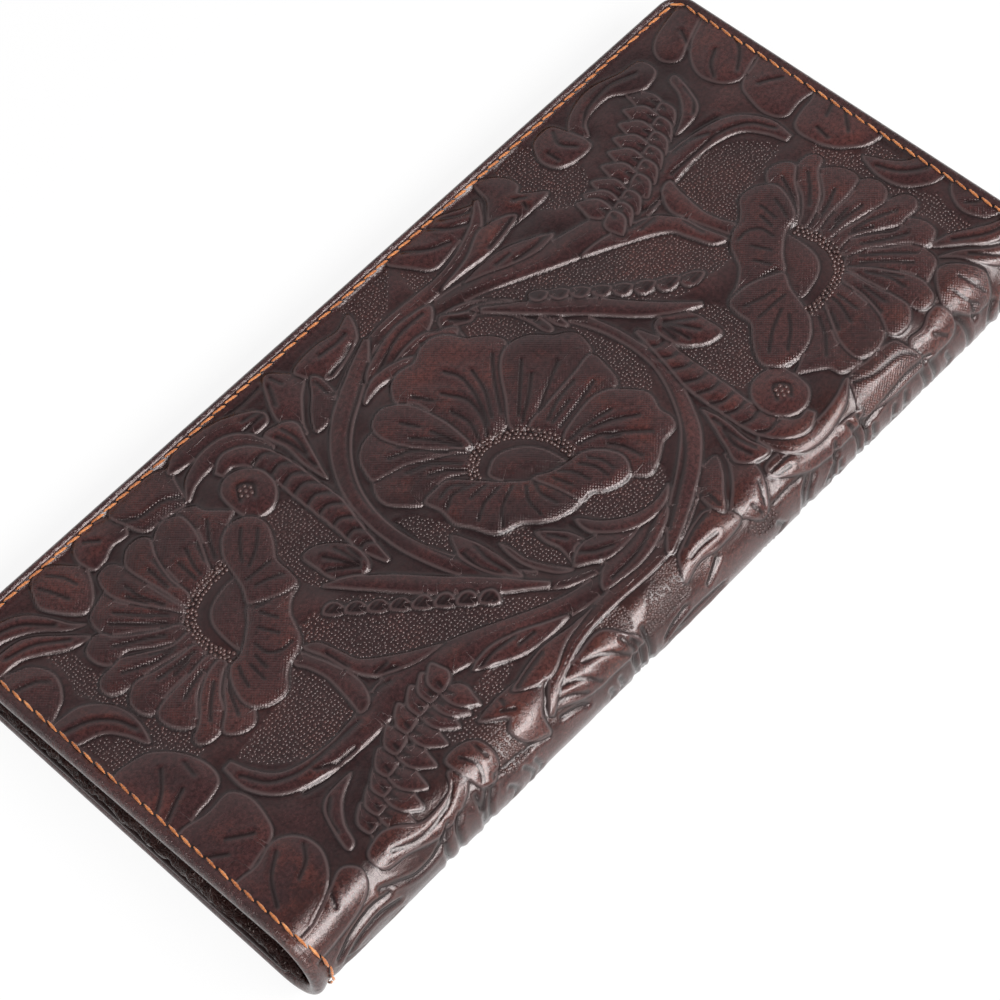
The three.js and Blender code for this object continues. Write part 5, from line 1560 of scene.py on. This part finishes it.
def lay_coin_strip(p, q, h):
    turn = np.clip((q - STRIP_FLAT) / STRIP_BEND, 0.0, np.pi / 2)
    down = np.maximum(q - STRIP_FLAT - STRIP_BEND * np.pi / 2, 0.0)
    y = STRIP_START - np.minimum(q, STRIP_FLAT) - (STRIP_BEND + h) * np.sin(turn)
    z = STRIP_HEIGHT - STRIP_BEND + (STRIP_BEND + h) * np.cos(turn) - down
    return np.stack([p, y, z], axis=-1)


coin_front = slab("coin_pocket_front_leather", COIN_HALF, COIN_ZIP_EDGE, COIN_TOP, COIN_LEATHER,
                  lay_coin_front, inner_finish, (0.8, 2.5), 1.1)
coin_strip = slab("coin_pocket_strip_leather", COIN_HALF, 0.0, STRIP_LONG, COIN_LEATHER, lay_coin_strip,
                  inner_finish, (0.8, 0.0), 0.35)
for piece, node in ((coin_front, "coin_pocket_lower"), (coin_strip, "coin_pocket_upper")):
    fit(piece, "back_half", node)

# Gussets: thin glossy leather squeezed out in a crumpled fold between the halves, low where the pull passes.
GUSSET_LEATHER = 0.5
GUSSET_FROM, GUSSET_TO = -40.5, 43.5
GUSSET_ROOT = 92.0
GUSSET_FOOT = 3.65
GUSSET_RISE = 1.0
GUSSET_BULGE = 3.0
GUSSET_WAY = 8.0
GUSSET_SWING = 88.0
PULL_FROM, PULL_TO = -18.0, -24.0
PULL_ROOM = 0.42
for end, way in (("near", -1), ("far", 1)):
    def lay_gusset(p, q, h):
        y = (GUSSET_FROM + GUSSET_TO) / 2 + p
        swing = np.radians(-GUSSET_SWING + 2 * GUSSET_SWING * q / GUSSET_WAY)
        tall = (coin_height(y) + COIN_LEATHER - GUSSET_FOOT + GUSSET_RISE) / 2
        tall = tall * (1 - PULL_ROOM * smoothstep(PULL_FROM, PULL_TO, y))
        tuck = 0.35 * np.sin(y / 1.9 + 2.2 * np.sin(y / 7.0))
        tuck = tuck + 0.55 * crumple(y, q, 0.85, SEED) + 0.4 * crumple(y, q, 2.3, SEED + 1)
        x = GUSSET_ROOT + (GUSSET_BULGE + 0.55 * tuck * np.cos(swing) + h) * np.cos(swing)
        z = GUSSET_FOOT + tall + (tall - GUSSET_LEATHER + h) * np.sin(swing)
        z = z + 0.22 * crumple(y + 40.0, q, 1.1, SEED + 2) * np.cos(swing)
        return np.stack([way * x, y, z], axis=-1)
    gusset = slab(f"coin_gusset_leather_{end}", (GUSSET_TO - GUSSET_FROM) / 2, 0.0, GUSSET_WAY,
                  GUSSET_LEATHER, lay_gusset, gusset_finish, (0.0, 0.0), 0.3)
    fit(gusset, "back_half", f"coin_gusset_{end}")

# Zip: woven tapes under the pocket's two edges; teeth, stops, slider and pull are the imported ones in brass.
TAPE_HALF = LENGTH / 2 - ZIP_END_INSET + STOP_ROOM
TAPE_HEIGHT = ZIP_MIDDLE - TAPE_CLOTH / 2


def lay_tape(p, q, h):
    return np.stack([p, q, TAPE_HEIGHT + h], axis=-1)


for side, low in (("lower", ZIP_Y + TAPE_INNER), ("upper", ZIP_Y - TAPE_INNER - TAPE_WIDTH)):
    tape = slab(f"zip_tape_cloth_{side}", TAPE_HALF, low, low + TAPE_WIDTH, TAPE_CLOTH, lay_tape, tape_finish,
                (0.0, 0.0), 0.8)
    fit(tape, "back_half", f"zip_tape_{side}")
for node in ("zip_teeth_lower", "zip_teeth_upper", "zip_top_stop_lower", "zip_top_stop_upper",
             "zip_bottom_stop", "zip_slider", "zip_pull"):
    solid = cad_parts[node]
    solid.data.materials.clear()
    solid.data.materials.append(brass_finish)

# Stitches inside: the cover's seam as it shows on the panels, and the pockets' own rows.
INSIDE_STITCH, INSIDE_HEIGHT = 2.4, 0.45
INSIDE_LIFT = 0.06
SEAM_IN = 1.9
MOUTH_EDGE = 0.01


def inside_row(name, line, height, place, body):
    """Stitches along a line of (x, y) at heights over the half's outer face."""
    places, ahead = evenly(np.asarray(line, float), STITCH_PITCH, STITCH_PITCH / 2)

    def lay(xy, lift):
        return place(np.stack([xy[:, 0], xy[:, 1], height(xy[:, 0], xy[:, 1]) + lift], axis=-1))
    middle = lay(places, INSIDE_LIFT)
    up = lay(places, INSIDE_LIFT + 1.0) - middle
    forward = lay(places + 0.5 * ahead, INSIDE_LIFT) - lay(places - 0.5 * ahead, INSIDE_LIFT)
    forward = forward / np.linalg.norm(forward, axis=1)[:, None]
    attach(stitches(name, middle, forward, up, INSIDE_STITCH, INSIDE_HEIGHT), body)


def on_panel(x, y):
    return np.full(x.shape, PANEL_LOW + PANEL_LEATHER - 0.36)


def on_coin_front(x, y):
    return lay_coin_front(x, y, np.full(x.shape, COIN_LEATHER))[:, 2]


def on_coin_strip(x, y):
    return np.full(x.shape, STRIP_HEIGHT + COIN_LEATHER)


def on_pockets(x, y):
    """Height of the frontmost card pocket; a stitch right at a mouth lies on the strip behind."""
    run = (POCKET_SEWN - y) / np.cos(POCKET_RISE)
    front = np.clip(np.floor((run - POCKET_DEPTH + MOUTH_EDGE) / POCKET_STEP) + 2, 1, 3).astype(int)
    behind = POCKET_STEP / np.cos(POCKET_RISE)
    heights = np.stack([pocket_height(k, x, run - behind * (k - 1)) for k in TIERS])
    return np.take_along_axis(heights, front[None] - 1, axis=0)[0] + POCKET_LEATHER


def three_sides(half, foot, head):
    """A line up one side of a pocket, along its sewn edge and down the other side."""
    return [(-half, foot), (-half, head), (half, head), (half, foot)]


panel_line = np.array([(u, OPEN_Y - s) for u, s in seam_line() if s < FLAT_LENGTH - 4.0])
zip_low, zip_high = ([(-COIN_HALF + 3.0, y), (COIN_HALF - 3.0, y)]
                     for y in (COIN_ZIP_EDGE + SEAM_IN, STRIP_START - SEAM_IN))
coin_line = three_sides(COIN_HALF - SEAM_IN, COIN_ZIP_EDGE + 4.0, COIN_TOP - SEAM_IN)
pocket_foot = POCKET_SEWN - (POCKET_DEPTH * np.cos(POCKET_RISE) + 2 * POCKET_STEP) + 1.5
pocket_line = three_sides(POCKET_HALF - SEAM_IN, pocket_foot, POCKET_SEWN - SEAM_IN)
middle_line = [(0.0, POCKET_SEWN - 3.0), (0.0, pocket_foot)]
for name, line, height, place, body in (
        ("front_panel_stitches", panel_line, on_panel, to_front, "front_half"),
        ("back_panel_stitches", panel_line, on_panel, to_back, "back_half"),
        ("coin_pocket_stitches", coin_line, on_coin_front, to_back, "back_half"),
        ("zip_stitches_lower", zip_low, on_coin_front, to_back, "back_half"),
        ("zip_stitches_upper", zip_high, on_coin_strip, to_back, "back_half"),
        ("pocket_middle_stitches", middle_line, on_pockets, to_front, "front_half"),
        ("card_pocket_stitches", pocket_line, on_pockets, to_front, "front_half")):
    inside_row(name, line, height, place, body)


# Camera where the photograph was taken from, in millimetres.
CAMERA_PLACE = (-209.398, -206.116, 521.934)
CAMERA_LENS = 119.08
camera = bpy.data.objects.new("camera", bpy.data.cameras.new("camera"))
bpy.context.scene.collection.objects.link(camera)
view_right = Vector((0.68247, -0.73066, -0.01925))
view_down = Vector((-0.64540, -0.59006, -0.48506))
view_ahead = Vector((0.34305, 0.34346, -0.87427))
turn = Matrix((view_right, -view_down, -view_ahead)).transposed().to_4x4()
camera.matrix_world = Matrix.Translation(Vector(CAMERA_PLACE) * MM) @ turn
camera.data.lens = CAMERA_LENS
camera.data.sensor_width = 36.0
camera.data.clip_end = 20.0
bpy.context.scene.camera = camera

# Pale floor, a long softbox beside the fold and a studio that is pale low down and dim overhead.
FLOOR_HALF = 6
FLOOR_GLOW = 0.9
STUDIO_TONES = ((0.0, (0.75, 0.735, 0.75)), (0.12, (0.33, 0.32, 0.335)), (0.3, (0.33, 0.32, 0.335)),
                (0.5, (0.62, 0.59, 0.60)), (0.7, (0.46, 0.43, 0.44)), (0.86, (0.21, 0.20, 0.22)),
                (0.97, (0.07, 0.068, 0.078)))
floor_mesh = bpy.data.meshes.new("floor")
floor_corners = [(FLOOR_HALF * x, FLOOR_HALF * y, 0) for x, y in ((-1, -1), (1, -1), (1, 1), (-1, 1))]
floor_mesh.from_pydata(floor_corners, [], [(0, 1, 2, 3)])
floor = bpy.data.objects.new("floor", floor_mesh)
bpy.context.scene.collection.objects.link(floor)
floor_finish, floor_tree, floor_base = shader("floor_white", Roughness=0.9,
                                              Base_Color=(0.93, 0.93, 0.93, 1.0))
glow = add(floor_tree, "ShaderNodeEmission", (("Color", (1.0, 1.0, 1.0, 1.0)), ("Strength", 1.0)))
path = add(floor_tree, "ShaderNodeLightPath").outputs
shown = math(floor_tree, "MAXIMUM", path["Is Camera Ray"],
             math(floor_tree, "MAXIMUM", path["Is Glossy Ray"], path["Is Transmission Ray"]))
blended = add(floor_tree, "ShaderNodeMixShader", ((0, times(floor_tree, shown, FLOOR_GLOW)),
                                                  (1, floor_base.outputs[0]), (2, glow.outputs[0])))
floor_tree.links.new(blended.outputs[0], floor_tree.nodes["Material Output"].inputs["Surface"])
floor_mesh.materials.append(floor_finish)


def softbox(name, place, target, width, length, watts):
    """A flat soft lamp that looks at a point, its length along X."""
    lamp = bpy.data.lights.new(name, "AREA")
    lamp.shape = "RECTANGLE"
    lamp.size, lamp.size_y = length, width
    lamp.energy = watts
    holder = bpy.data.objects.new(name, lamp)
    bpy.context.scene.collection.objects.link(holder)
    back = (Vector(place) - Vector(target)).normalized()
    side = (Vector((1, 0, 0)) - back * back.x).normalized()
    up = back.cross(side)
    holder.matrix_world = Matrix.Translation(place) @ Matrix((side, up, back)).transposed().to_4x4()


softbox("key_softbox", (0.05, -0.55, 0.62), (0.0, -0.02, 0.01), 0.3, 0.9, 10.5)
softbox("end_softbox", (-0.75, -0.2, 0.22), (-0.09, 0.0, 0.01), 0.3, 0.6, 0.5)

world = bpy.data.worlds.new("studio")
bpy.context.scene.world = world
world.use_nodes = True
sky = world.node_tree
sky_way = add(sky, "ShaderNodeTexCoord").outputs["Generated"]
high_up = add(sky, "ShaderNodeSeparateXYZ", (("Vector", sky_way),))
sky.links.new(ramp(sky, high_up.outputs["Z"], STUDIO_TONES), sky.nodes["Background"].inputs["Color"])
sky.nodes["Background"].inputs["Strength"].default_value = 1.0
bpy.context.scene.view_settings.view_transform = "Standard"

# The single stitch and bead were only patterns for the rows.
for pattern in (bar, dome):
    bpy.data.objects.remove(pattern)
